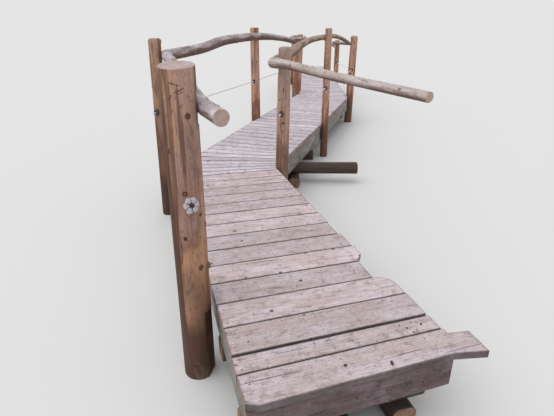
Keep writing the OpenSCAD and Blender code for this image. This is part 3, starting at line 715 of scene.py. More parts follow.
@dataclass(frozen=True)
class SteelFinish:
    """Galvanised steel, dulled outdoors, with rust in spots."""

    name: str
    zinc: Colour
    rust: Colour

    def make(self, effects: WoodEffects) -> Material:
        """Makes the material.

        Args:
            effects: The shared effects, whose patches make the rust.

        Returns:
            The material.
        """
        material, grove, shader = new_material(self.name)
        where = grove.node("ShaderNodeTexCoord").outputs["Object"]
        spots = grove.place(effects.patches, Coordinates=where, Scale=160.0, Length=1.0, Cover=0.46)["Mask"]
        grove.fill(
            shader, Base_Color=grove.blend(spots, self.zinc, self.rust),
            Metallic=grove.window(spots, 0.0, 1.0, 0.9, 0.1),
            Roughness=grove.window(spots, 0.0, 1.0, 0.45, 0.8))
        return material


class CadSolid:
    """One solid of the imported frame, as a merged copy that can be measured and felt."""

    CIRCLE_FITS = 8
    ROUND_SHARE = 0.6
    OUT_OF_ROUND = 0.02

    def __init__(self, mesh: Mesh) -> None:
        """Takes the merged copy and makes its arrays and its tree.

        Args:
            mesh: A closed mesh of one solid.
        """
        self.mesh = mesh
        mesh.verts.ensure_lookup_table()
        self.points = np.array([v.co[:] for v in mesh.verts])
        self.edges = np.array([[v.index for v in e.verts] for e in mesh.edges])
        self.tree = BVHTree.FromBMesh(mesh)

    def main_axis(self) -> Vector:
        """Finds the solid's longest direction.

        Returns:
            The direction, pointing up or towards +Y or +X.
        """
        centred = self.points - self.points.mean(axis=0)
        _, _, rows = np.linalg.svd(centred, full_matrices=False)
        axis = Vector(rows[0])
        leading = max(axis, key=abs)
        return axis if leading > 0 else -axis

    def span(self, axis: Vector) -> tuple[float, float]:
        """Returns the lowest and highest distance along an axis."""
        along = self.points @ np.array(axis)
        return float(along.min()), float(along.max())

    def cut(self, axis: Vector, along: float) -> np.ndarray:
        """Cuts the solid's edges by a plane square to an axis.

        Args:
            axis: A unit vector.
            along: Distance of the plane along it.

        Returns:
            The points where they pass through it.
        """
        depth = self.points @ np.array(axis) - along
        first, second = depth[self.edges[:, 0]], depth[self.edges[:, 1]]
        crossing = (first < 0) != (second < 0)
        share = (first[crossing] / (first[crossing] - second[crossing]))[:, None]
        starts = self.points[self.edges[crossing, 0]]
        return starts + (self.points[self.edges[crossing, 1]] - starts) * share

    def section(self, axis: Vector, along: float) -> tuple[Vector, float]:
        """Cuts the solid square to an axis.

        Args:
            axis: A unit vector.
            along: Distance of the cut along it.

        Returns:
            The cut's middle and its largest radius.
        """
        cut = self.cut(axis, along)
        low, high = cut.min(axis=0), cut.max(axis=0)
        middle = (low + high) / 2
        return Vector(middle), float(np.linalg.norm(cut - middle, axis=1).max())

    def circle(self, height: float) -> tuple[float, float, float]:
        """Fits a circle to the round share of a level cut.

        Args:
            height: The height of the cut.

        Returns:
            The circle's middle and its radius.
        """
        points = self.cut(UP, height)[:, :2]
        for _ in range(self.CIRCLE_FITS):
            matrix = np.column_stack([2 * points, np.ones(len(points))])
            fitted = np.linalg.lstsq(matrix, (points ** 2).sum(axis=1), rcond=None)[0]
            radius = math.sqrt(fitted[2] + fitted[0] ** 2 + fitted[1] ** 2)
            reach = np.linalg.norm(points - fitted[:2], axis=1)
            kept = reach > np.quantile(reach, self.ROUND_SHARE) - self.OUT_OF_ROUND * radius
            if kept.all():
                break
            points = points[kept]
        return float(fitted[0]), float(fitted[1]), radius

    def feel(self, outside: Vector, inward: Vector) -> float | None:
        """Returns how far it is from a point to the solid's skin, or None where it is missed."""
        return self.tree.ray_cast(outside, inward)[3]

    def end_plane(self, inside: Vector, way: Vector) -> Spot:
        """Returns a point and the normal of the end face that lies ahead."""
        return self.tree.ray_cast(inside, way)[:2]


@functools.cache
def solids_of(node: str) -> list[CadSolid]:
    """Copies a CAD node's mesh and parts it into its solids.

    Args:
        node: The node's name.

    Returns:
        The solids, in the order of their first vertices.
    """
    whole = bmesh.new()
    whole.from_mesh(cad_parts[node].data)
    bmesh.ops.remove_doubles(whole, verts=whole.verts, dist=HAIR)
    whole.verts.ensure_lookup_table()
    found: list[CadSolid] = []
    seen: set[int] = set()
    for seed in whole.verts:
        if seed.index in seen:
            continue
        island = {seed.index}
        todo = [seed]
        while todo:
            for edge in todo.pop().link_edges:
                for vert in edge.verts:
                    if vert.index not in island:
                        island.add(vert.index)
                        todo.append(vert)
        seen |= island
        part = whole.copy()
        part.verts.ensure_lookup_table()
        bmesh.ops.delete(part, geom=[v for v in part.verts if v.index not in island], context="VERTS")
        part.verts.index_update()
        found.append(CadSolid(part))
    whole.free()
    return found


class Piece:
    """A visible piece in the making: one mesh that rides on the bridge and replaces CAD nodes."""

    SHARP = math.radians(38)

    def __init__(self, name: str, materials: Sequence[Material], slot: str | None = None,
                 replaces: Iterable[str] = ()) -> None:
        """Starts an empty piece.

        Args:
            name: The piece's name.
            materials: Its materials, in the order of their indices.
            slot: The record's material slot, if it has one; not used.
            replaces: The CAD nodes that it stands for.
        """
        self.name = name
        self.materials = materials
        self.slot = slot
        self.replaces = tuple(replaces)
        self.mesh = Part().mesh

    def add(self, part: Mesh) -> None:
        """Adds a finished part, which is freed.

        Args:
            part: The part, with its own grain and tone layers.
        """
        carrier = bpy.data.meshes.new("carrier")
        part.to_mesh(carrier)
        part.free()
        self.mesh.from_mesh(carrier)
        bpy.data.meshes.remove(carrier)

    def finish(self) -> bpy.types.Object:
        """Returns:
            The object.
        """
        low, high = CAD_BOX
        for vert in self.mesh.verts:
            for side in range(3):
                vert.co[side] = min(max(vert.co[side], low[side]), high[side])
        for face in self.mesh.faces:
            face.smooth = True
        for edge in self.mesh.edges:
            if len(edge.link_faces) == 2 and edge.calc_face_angle(0.0) > self.SHARP:
                edge.smooth = False
        data = bpy.data.meshes.new(self.name)
        self.mesh.to_mesh(data)
        self.mesh.free()
        for material in self.materials:
            data.materials.append(material)
        made = bpy.data.objects.new(self.name, data)
        bpy.context.scene.collection.objects.link(made)
        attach(made, BODY)
        if self.replaces:
            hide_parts(*self.replaces)
        LOG.info("%s: %d faces", self.name, len(data.polygons))
        return made


class Shape(Protocol):
    """Anything that builds a mesh of its own."""

    def build(self) -> Mesh:
        """Returns the mesh."""


def lay(name: str, materials: Sequence[Material], shapes: Iterable[Shape], slot: str | None = None,
        replaces: Iterable[str] = ()) -> None:
    """Makes a piece of shapes that can each be built.

    Args:
        name: The piece's name.
        materials: Its materials, in the order of their indices.
        shapes: The shapes.
        slot: The record's material slot, if it has one.
        replaces: The CAD nodes that it stands for.
    """
    piece = Piece(name, materials, slot, replaces)
    for shape in shapes:
        piece.add(shape.build())
    piece.finish()


@dataclass
class Part:
    """A mesh in the making, with its wood coordinates, its own tone, and its darkness from weathering and from
    painted shade.
    """

    mesh: Mesh = field(default_factory=bmesh.new)

    def __post_init__(self) -> None:
        """Adds the layers."""
        self.grain = self.mesh.verts.layers.float_vector.new(GRAIN)
        self.tone = self.mesh.verts.layers.float.new(TONE)
        self.weather = self.mesh.verts.layers.float.new(WEATHER_AND_SHADE)

    def tube(self, sides: int, rings: int) -> list[Ring]:
        """Rolls a grid up into an open tube.

        Args:
            sides: How many vertices each ring has.
            rings: How many rings there are.

        Returns:
            The rings, from the first end on, each with its vertices in order.
        """
        grid = bmesh.ops.create_grid(self.mesh, x_segments=sides, y_segments=rings - 1, size=1.0)["verts"]
        rows = [grid[i * (sides + 1):(i + 1) * (sides + 1)] for i in range(rings)]
        bmesh.ops.weld_verts(self.mesh, targetmap={row[-1]: row[0] for row in rows})
        return [row[:-1] for row in rows]

    def cap(self, ring: Ring) -> None:
        """Closes a ring with a face parted into triangles round its middle.

        Args:
            ring: The ring's vertices in order.
        """
        edges = [self.mesh.edges.get((ring[i - 1], ring[i])) for i in range(len(ring))]
        faces = bmesh.ops.contextual_create(self.mesh, geom=edges)["faces"]
        bmesh.ops.poke(self.mesh, faces=faces)

    def done(self) -> Mesh:
        """Returns the closed mesh with its faces pointing outwards."""
        bmesh.ops.recalc_face_normals(self.mesh, faces=self.mesh.faces)
        return self.mesh


@dataclass(frozen=True)
class LogNature:
    """How a log grew and dried: how much it swells, wanders and cracks."""

    swell: float = 0.035
    flute: float = 0.012
    rough: float = 0.006
    cracks: int = 0
    crack_depth: float = 0.012
    crack_width: float = 0.0035
    edge_wear: float = 0.0025


@dataclass
class Station:
    """One ring of a log: its middle, radius, direction and distance from the butt."""

    middle: Vector
    radius: float
    way: Vector
    along: float


@dataclass
class RoundLog:
    """A natural log laid as a fine skin over one round CAD solid, with its flats and notches kept."""

    solid: CadSolid
    nature: LogNature
    seed: int
    sides: int = 48
    pitch: float = 0.022
    exposure: Exposure = Exposure.LYING
    # How dark a lying log's underside and an upright log's -X side are painted, as shade.
    underside: float = 0.36
    shaded_side: float = 0.12
    snug: float = 1.02
    levels: Sequence[float] = ()
    bores: Sequence[Spot] = ()
    stations: list[Station] = field(default_factory=list)

    END_MATERIAL = 1
    LONG = 0.5
    LONG_MARGIN = 0.07
    SHORT_MARGIN = 0.01
    LEAST_STEPS = 4
    CUTS = 9
    FOOT_CLEAR = 0.004
    TOP_CLEAR = 0.05
    OVER_TOP = 0.01
    TOP_RUN = 0.03
    WORN_DROPS = (0.022, 0.016, 0.011, 0.007, 0.004)
    LEDGE_SHARE = 0.4
    LEDGE_HALF = 0.4 * MILLIMETRE
    NATURE_WAVES = ((0.7, 2.6), (2.6, 0.9), (6.0, 24.0))
    SPLIT = ((0.0, math.tau), (0.0, 0.5), (0.5, 1.0))
    CRACK_SHORTEST = 0.05
    CRACK_TAPER = 0.6
    CRACK_WANDER = 0.12
    CRACK_WAVES = 3.0
    CRACK_LEAST = 1e-4
    FEEL_FROM = 2.2
    LOST = 0.12
    BORE_REACH = 0.012
    DRIFT = 0.3
    DRIFT_WAVES = 4.0
    SKY_SIDE = 0.62
    SHADED_SIDE_FROM = 0.4
    SHADED_SIDE_WIDTH = 0.3
    FOOT_DARKNESS = 0.97
    FOOT_DARK_HEIGHT = 0.72
    UPRIGHT_DRIFT = 0.7
    SHADED_DAMP = 0.8
    HEWN = 0.96
    HEWN_SHADE = 0.9
    DECK_FOOT = 0.44
    CAP_RINGS = (0.93, 0.72, 0.45, 0.18)
    LEAST_RUN = MILLIMETRE * 0.5
    SAW_WAVES = 60.0
    SAW_DEPTH = 0.4
    SAW_SINK = 0.3 * MILLIMETRE
    END_DEPTH = 2 * MILLIMETRE
    END_REACH = 0.2

    def __post_init__(self) -> None:
        """Measures the solid and sets out the rings."""
        self.dice = random.Random(self.seed)
        self.shift = Vector([self.dice.uniform(-PATTERN_REACH, PATTERN_REACH) for _ in range(3)])
        self.upright = self.exposure is Exposure.UPRIGHT
        self.axis = UP.copy() if self.upright else self.solid.main_axis()
        self.across = TO_RIGHT.copy() if self.upright else self.axis.cross(UP).normalized()
        self._measure()
        self.splits = [[self.dice.uniform(*limits) for limits in self.SPLIT] for _ in range(self.nature.cracks)]

    def _measure(self) -> None:
        """Cuts the solid at even steps and sets a station at each."""
        low, high = self.solid.span(self.axis)
        if self.upright:
            self._measure_upright(low, high)
            return
        margin = self.LONG_MARGIN if high - low > self.LONG else self.SHORT_MARGIN
        count = max(self.LEAST_STEPS, round((high - low - 2 * margin) / self.pitch))
        places = [low + margin + (high - low - 2 * margin) * i / count for i in range(count + 1)]
        cuts = [self.solid.section(self.axis, place) for place in places]
        middles = self._smooth([Vector(c[0]) for c in cuts])
        radii = self._smooth([c[1] for c in cuts])
        for i, middle in enumerate(middles):
            way = (middles[min(i + 1, count)] - middles[max(i - 1, 0)]).normalized()
            self.stations.append(Station(middle, radii[i], way, places[i] - low))

    def _measure_upright(self, low: float, high: float) -> None:
        """Finds the line and the taper of an upright log through its notches, and sets its stations.

        Args:
            low: The height of its foot.
            high: The height of its top.
        """
        heights = np.linspace(low + self.FOOT_CLEAR, high - self.TOP_CLEAR, self.CUTS)
        circles = np.array([self.solid.circle(height) for height in heights])
        first, second = np.triu_indices(len(heights), 1)
        rises = (heights[second] - heights[first])[:, None]
        slopes = np.median((circles[second] - circles[first]) / rises, axis=0)
        start = np.median(circles - heights[:, None] * slopes, axis=0)
        for place in self._upright_places(low, high):
            x, y, radius = start + slopes * place
            self.stations.append(Station(Vector((x, y, place)), float(radius), UP, place - low))

    def _upright_places(self, low: float, high: float) -> list[float]:
        """Sets out an upright log's rings, close together at its ledges and worn top.

        Args:
            low: The height of its foot.
            high: The height of its top.

        Returns:
            The rings' heights.
        """
        x, y, _ = self.solid.circle(high - self.TOP_CLEAR)
        slanted = self.solid.end_plane(Vector((x, y, high + self.OVER_TOP)), -UP)[1].z < LEVEL
        run = high - self.TOP_RUN - low
        count = round(run / self.pitch)
        clear = self.FOOT_CLEAR
        places = [low + clear + (run - clear) * i / count for i in range(count + 1)]
        if not slanted:
            places += [high - drop for drop in self.WORN_DROPS]
        for level in self.levels:
            places = [p for p in places if abs(p - level) > self.pitch * self.LEDGE_SHARE]
            places += [level - self.LEDGE_HALF, level + self.LEDGE_HALF]
        return sorted(places)

    @staticmethod
    def _smooth(values: list) -> list:
        """Averages values with their neighbours, up to two on either side.

        Args:
            values: Numbers or vectors in a row.

        Returns:
            The smoothed values, with the ends kept.
        """
        reach = 2
        smoothed = list(values)
        for i in range(1, len(values) - 1):
            near = min(reach, i, len(values) - 1 - i)
            some = values[i - near:i + near + 1]
            smoothed[i] = sum(some[1:], some[0]) / len(some)
        return smoothed

    def frame_at(self, station: Station) -> Spot:
        """Returns the two directions that span a station's ring."""
        out = (self.across - station.way * self.across.dot(station.way)).normalized()
        return out, station.way.cross(out)

    def shape(self, along: float, turn: float) -> float:
        """Works out the log's natural radius at a place.

        Args:
            along: Distance from the butt.
            turn: Angle round the log.

        Returns:
            The radius, as a share of the full one.
        """
        x, y = math.cos(turn), math.sin(turn)
        nature = self.nature
        swell, flute, rough = (
            noise.noise(Vector((x * around, y * around, along * lengthwise)) + self.shift)
            for around, lengthwise in self.NATURE_WAVES)
        value = 1.0 - nature.swell * (0.5 - 0.5 * swell) - nature.flute * (0.5 - 0.5 * flute)
        return value + nature.rough * rough

    def turns(self, station: Station) -> list[tuple[float, float]]:
        """Sets out the vertices round a ring, close together at a crack.

        Args:
            station: The ring's station.

        Returns:
            The angle of each, and how deep a crack runs there.
        """
        turns = [(math.tau * k / self.sides, 0.0) for k in range(self.sides)]
        length = self.stations[-1].along
        for angle, start, end in self.splits:
            share = (station.along / length - start) / max(end - start, self.CRACK_SHORTEST)
            if not 0 < share < 1:
                continue
            gape = math.sin(math.pi * share) ** self.CRACK_TAPER
            bend = noise.noise(Vector((station.along * self.CRACK_WAVES, angle, 0.0)))
            step = round((angle + self.CRACK_WANDER * bend) / math.tau * self.sides)
            half = self.nature.crack_width * gape / station.radius / 2 + self.CRACK_LEAST
            k, base = step % self.sides, math.tau * step / self.sides
            turns[k] = (base, self.nature.crack_depth * gape)
            turns[k - 1] = (base - half, 0.0)
            turns[(k + 1) % self.sides] = (base + half, 0.0)
        return turns

    def reach(self, station: Station, direction: Vector, wanted: float) -> float:
        """Holds a radius back to the solid's own skin where it is cut or hewn.

        Args:
            station: The ring's station.
            direction: The unit direction out from its middle.
            wanted: The natural radius.

        Returns:
            The radius.
        """
        spot = station.middle + direction * station.radius
        for middle, way in self.bores:
            offset = spot - middle
            if (offset - way * offset.dot(way)).length < self.BORE_REACH:
                return wanted
        far = station.radius * self.FEEL_FROM
        felt = self.solid.feel(station.middle + direction * far, -direction)
        if felt is None:
            return wanted
        skin = far - felt
        return wanted if skin < station.radius * self.LOST else min(wanted, skin * self.snug)

    def station_at(self, along: float) -> Station:
        """Finds a place along the log.

        Args:
            along: The distance.

        Returns:
            Its station.
        """
        places = [s.along for s in self.stations]
        after = min(max(int(np.searchsorted(places, along)), 1), len(places) - 1)
        first, second = self.stations[after - 1], self.stations[after]
        share = (along - first.along) / (second.along - first.along)
        return Station(
            first.middle.lerp(second.middle, share), first.radius + (second.radius - first.radius) * share,
            first.way.lerp(second.way, share).normalized(), along)

    def darkness(self, direction: Vector, place: Vector) -> float:
        """Judges how dark the log is at a place, from weathering and from painted shade.

        Args:
            direction: The unit direction out from the log's middle.
            place: The place on its surface.

        Returns:
            The darkness, from 0, bleached, to 1.
        """
        drift = self.DRIFT * noise.noise(place * self.DRIFT_WAVES + self.shift)
        # Bleached on top, and darker underneath as painted shade.
        if self.exposure is Exposure.LYING:
            return held(self.underside - self.SKY_SIDE * direction.z + drift)
        # Painted shade on the side that faces -X, and darker towards the foot, from moisture and painted shade.
        if self.exposure is Exposure.UPRIGHT:
            shaded_side_share = self.shaded_side * held((-direction.x - self.SHADED_SIDE_FROM) / self.SHADED_SIDE_WIDTH)
            damp_and_shade = self.FOOT_DARKNESS * math.exp(-place.z / self.FOOT_DARK_HEIGHT)
            return held(damp_and_shade + shaded_side_share + self.UPRIGHT_DRIFT * drift)
        # Dark all over: painted shade under the deck, with moisture.
        return held(self.SHADED_DAMP + drift)

    def point(self, station: Station, turn: float, lift: float = 0.0) -> Vector:
        """Finds a point on the log's surface.

        Args:
            station: The station beside which it lies.
            turn: Angle round the log.
            lift: Distance out from the surface.

        Returns:
            The point.
        """
        out, up = self.frame_at(station)
        direction = out * math.cos(turn) + up * math.sin(turn)
        natural = station.radius * self.shape(station.along, turn)
        return station.middle + direction * (self.reach(station, direction, natural) + lift)

    def build(self) -> Mesh:
        """Builds the log.

        Returns:
            Its mesh.
        """
        part = Part()
        closing = len(self.CAP_RINGS) + 2
        rings = part.tube(self.sides, len(self.stations) + 2 * closing)
        for ring, station in zip(rings[closing:], self.stations):
            out, up = self.frame_at(station)
            for vert, (turn, crack) in zip(ring, self.turns(station)):
                direction = out * math.cos(turn) + up * math.sin(turn)
                natural = station.radius * self.shape(station.along, turn)
                radius = self.reach(station, direction, natural)
                vert.co = station.middle + direction * (radius - crack)
                vert[part.grain] = self._grain(turn, radius - crack, station.along)
                # Painted shade in the hewn recesses low on a post.
                hewn = radius < natural * self.HEWN and station.middle.z < self.DECK_FOOT
                vert[part.weather] = self.HEWN_SHADE if hewn else self.darkness(direction, vert.co)
        self._close(part, rings[-closing - 1:], self.stations[-1], 1.0)
        self._close(part, rings[closing::-1], self.stations[0], -1.0)
        seeded = self.dice.random()
        for vert in part.mesh.verts:
            vert[part.tone] = seeded
        return part.done()

    def _grain(self, turn: float, radius: float, along: float) -> Vector:
        """Returns the wood's own coordinates, unbent, with Z along the log."""
        return Vector((radius * math.cos(turn), radius * math.sin(turn), along + self.shift.z))

    def _close(self, part: Part, rings: list[Ring], station: Station, sign: float) -> None:
        """Runs a log's side on to the solid's end face and closes it with a sawn end.

        Args:
            part: The log's part.
            rings: The last ring of the log's side, and the rings for its end in order.
            station: That ring's station.
            sign: 1 at the tip and -1 at the butt.
        """
        way = station.way * sign
        where, normal = self.solid.end_plane(station.middle, way)
        slope = way.dot(normal)
        sides = [vert.co.copy() for vert in rings[0]]
        worn = 1.0 - self.nature.edge_wear / station.radius
        for ring, (scale, back) in zip(rings[1:3], ((1.0, self.nature.edge_wear), (worn, 0.0))):
            for vert, side in zip(ring, sides):
                spot = station.middle + (side - station.middle) * scale
                run = (where - spot).dot(normal) / slope - back
                vert.co = spot + way * max(run, self.LEAST_RUN)
                vert[part.grain] = self._from_grain(vert, station, side)
                vert[part.weather] = self.darkness((side - station.middle).normalized(), vert.co)
        rim = [vert.co.copy() for vert in ring]
        centre = sum(rim, Vector()) / len(rim)
        for ring, scale in zip(rings[3:], self.CAP_RINGS):
            for vert, edge in zip(ring, rim):
                vert.co = centre + (edge - centre) * scale
                saw = noise.noise(vert.co * self.SAW_WAVES + self.shift) * self.SAW_DEPTH * MILLIMETRE
                vert.co += way * (saw - self.SAW_SINK)
                vert[part.grain] = self._from_grain(vert, station, vert.co)
        part.cap(ring)
        for vert in part.mesh.verts:
            if vert[part.grain].length < HAIR:
                vert[part.grain] = self._from_grain(vert, station, vert.co)
        reach = (centre - station.middle).dot(way) - 2 * self.nature.edge_wear
        for face in part.mesh.faces:
            middle = face.calc_center_median()
            on_end = abs((middle - centre).dot(normal)) < self.END_DEPTH
            if on_end and (middle - station.middle).dot(way) > reach * self.END_REACH:
                face.material_index = self.END_MATERIAL

    def _from_grain(self, vert: bmesh.types.BMVert, station: Station, side: Vector) -> Vector:
        """Works out the grain coordinates of a vertex near a station.

        Args:
            vert: The vertex.
            station: The station.
            side: Where the vertex lies across the log.

        Returns:
            The coordinates.
        """
        out, up = self.frame_at(station)
        offset = side - station.middle
        along = station.along + (vert.co - station.middle).dot(station.way)
        return Vector((offset.dot(out), offset.dot(up), along + self.shift.z))


@dataclass
class Timber:
    """Sawn timber laid over a prism of the frame: bevelled, slightly cupped and wavy along its edges, with
    painted shade on its sides and top rims.
    """

    solid: CadSolid
    seed: int
    arris: float = 0.0025
    step: float = 0.075
    cup: float = 0.0008
    wave: float = 0.0012
    # Painted shade: how dark the side faces go, the width of the darkened rim round each top, and that rim's
    # share of the darkness.
    side_shade: float = 1.0
    shaded_rim: float = 0.007
    rim_share: float = 0.7
    END_MATERIAL = 1
    HEART_OFF = ((0.03, 0.12), (0.03, 0.1), (-PATTERN_REACH, PATTERN_REACH))
    LIFTS = (-0.6, 0.3)
    FLAT_ANGLE = 0.02
    END_LEAN = 0.7
    TOP_LEAN = 0.9
    RIM_LEAN = 0.97
    SHARP = 0.3
    ACROSS_STEP = 0.05
    CUT_SNAP = 1e-6
    TOP_BAND = 0.6
    CUP_WAVES = (1.5, 4.0)
    EDGE_WAVES = (6.0, 3.0)

    def build(self) -> Mesh:
        """Builds the timber.

        Returns:
            Its mesh.
        """
        dice = random.Random(self.seed)
        shift = Vector([dice.uniform(*limits) for limits in self.HEART_OFF])
        part = self.solid.mesh.copy()
        bmesh.ops.dissolve_limit(part, angle_limit=self.FLAT_ANGLE, verts=part.verts, edges=part.edges)
        axis, side, up = self._directions(part)
        for face in part.faces:
            if abs(face.normal.dot(axis)) > self.END_LEAN:
                face.material_index = self.END_MATERIAL
        centre = sum((v.co for v in part.verts), Vector()) / len(part.verts)
        tops = [f for f in part.faces if f.normal.z > self.TOP_LEAN]
        bmesh.ops.inset_region(part, faces=tops, thickness=self.shaded_rim, use_even_offset=True)
        sharp = [e for e in part.edges if len(e.link_faces) == 2 and e.calc_face_angle(0.0) > self.SHARP]
        bmesh.ops.bevel(part, geom=sharp, offset=self.arris, offset_type="OFFSET", segments=2,
                        profile=0.5, affect="EDGES", material=-1, clamp_overlap=True)
        self._cut(part, axis, self.step)
        self._cut(part, side, self.ACROSS_STEP)
        grain = part.verts.layers.float_vector.new(GRAIN)
        tone = part.verts.layers.float.new(TONE)
        weather = part.verts.layers.float.new(WEATHER_AND_SHADE)
        top = max(v.co.z for v in part.verts)
        value = dice.random()
        lift = dice.uniform(*self.LIFTS) * MILLIMETRE
        for vert in part.verts:
            place = vert.co - centre
            along, over, high = place.dot(axis), place.dot(side), place.dot(up)
            vert[grain] = Vector((over + shift.x, high + shift.y, along + shift.z))
            vert[tone] = value
            # Painted shade on the side faces, and a share of it on the top's rim.
            vert[weather] = self.side_shade
            if vert.co.z > top - self.TOP_BAND * self.arris:
                rim = any(face.normal.z < self.RIM_LEAN for face in vert.link_faces)
                vert[weather] = self.side_shade * self.rim_share if rim else 0.0
            bow = noise.noise(Vector((along * self.CUP_WAVES[0], over * self.CUP_WAVES[1], shift.z))) * self.cup
            edge = math.copysign(self.EDGE_WAVES[1], over)
            drift = noise.noise(Vector((along * self.EDGE_WAVES[0], edge, shift.z))) * self.wave
            vert.co += up * (bow + lift) + side * drift
        return part

    @staticmethod
    def _directions(part: Mesh) -> tuple[Vector, Vector, Vector]:
        """Finds how the timber lies.

        Args:
            part: Its plain prism.

        Returns:
            The directions along, across and up it.
        """
        longest = max(part.edges, key=lambda e: e.calc_length())
        axis = (longest.verts[1].co - longest.verts[0].co).normalized()
        return axis, UP.cross(axis).normalized(), UP

    def _cut(self, part: Mesh, way: Vector, step: float) -> None:
        """Cuts loops square to a direction at even steps.

        Args:
            part: The mesh.
            way: The unit direction.
            step: Distance between loops.
        """
        places = [v.co.dot(way) for v in part.verts]
        low, high = min(places), max(places)
        count = max(1, round((high - low) / step))
        for i in range(1, count):
            at = low + (high - low) * i / count
            bmesh.ops.bisect_plane(
                part, geom=list(part.verts) + list(part.edges) + list(part.faces), dist=self.CUT_SNAP,
                plane_co=way * at, plane_no=way)


@dataclass(frozen=True)
class KnotPlace:
    """Where a knot sits on a log or a face, round it or across it, and how large it is."""

    height: float
    turn: float
    width: float
    tall: float


@dataclass(frozen=True)
class FlatFace:
    """A flat face of sawn timber, on which a knot sits as it does on a log."""

    middle: Vector
    side: Vector
    up: Vector

    def station_at(self, along: float) -> Station:
        """Returns the place at a height over the face's middle."""
        return Station(self.middle + self.up * along, 1.0, self.up, along)

    def point(self, station: Station, turn: float, lift: float = 0.0) -> Vector:
        """Returns a point on the face."""
        return station.middle + self.side * turn + self.side.cross(self.up) * lift


@dataclass
class Knot:
    """A branch knot set on a log: a low collar round a dark rim and a core."""

    log: RoundLog | FlatFace
    place: KnotPlace
    lobes: float = 0.0
    sides: int = 16
    proud: float = 0.0022
    RAGGED = 0.16
    PETALS = 6
    HEIGHT_SEED = 7
    ROWS = ((0.86, -1.6), (1.0, -0.25), (0.84, 0.7), (0.66, 1.0), (0.5, 0.35), (0.3, 0.5))

    def build(self) -> Mesh:
        """Builds the knot.

        Returns:
            Its mesh.
        """
        part = Part()
        rings = part.tube(self.sides, len(self.ROWS))
        place = self.place
        seed = place.height * self.HEIGHT_SEED + place.turn
        middle = self.log.station_at(place.height)
        for ring, (share, lift) in zip(rings, self.ROWS):
            for k, vert in enumerate(ring):
                angle = math.tau * k / self.sides
                ragged = 1.0 + self.RAGGED * noise.noise(Vector((math.cos(angle), math.sin(angle), seed)))
                reach = share * ragged * (1.0 + self.lobes * math.cos(self.PETALS * angle + seed))
                x, y = reach * math.cos(angle), reach * math.sin(angle)
                station = self.log.station_at(place.height + y * place.tall / 2)
                turn = place.turn + x * place.width / 2 / middle.radius
                vert.co = self.log.point(station, turn, lift * self.proud)
                vert[part.grain] = Vector((x, y, seed))
        part.cap(rings[-1])
        part.cap(rings[0])
        for vert in part.mesh.verts:
            if vert[part.grain].length < HAIR:
                vert[part.grain] = Vector((0.0, 0.0, seed))
        return part.done()


@dataclass
class Nick:
    """A shallow dark cut across a log, drawn from one place on it to another."""

    log: RoundLog
    start: tuple[float, float]
    end: tuple[float, float]
    width: float
    SIDES = 6
    STEPS = 12
    PROUD = 0.0007
    BLUNT = 0.04
    TINT = Vector((0.6, 0.0, 0.0))

    def build(self) -> Mesh:
        """Builds the nick.

        Returns:
            Its mesh.
        """
        part = Part()
        rings = part.tube(self.SIDES, self.STEPS + 1)
        radius = self.log.station_at(self.start[0]).radius
        rise, run = self.end[0] - self.start[0], (self.end[1] - self.start[1]) * radius
        length = math.hypot(rise, run)
        for i, ring in enumerate(rings):
            share = i / self.STEPS
            swell = math.sqrt(math.sin(math.pi * (self.BLUNT + (1 - 2 * self.BLUNT) * share)))
            for k, vert in enumerate(ring):
                angle = math.tau * k / self.SIDES
                off = self.width / 2 * swell * math.cos(angle)
                along = self.start[0] + rise * share - off * run / length
                turn = self.start[1] + (run * share + off * rise / length) / radius
                lift = self.PROUD * swell * math.sin(angle)
                vert.co = self.log.point(self.log.station_at(along), turn, lift)
        part.cap(rings[-1])
        part.cap(rings[0])
        for vert in part.mesh.verts:
            vert[part.grain] = self.TINT
        return part.done()


def nodes_of(start: str) -> list[str]:
    """Returns the names of the CAD nodes that start with a word, in order."""
    return [name for name in sorted(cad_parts) if name.startswith(start)]


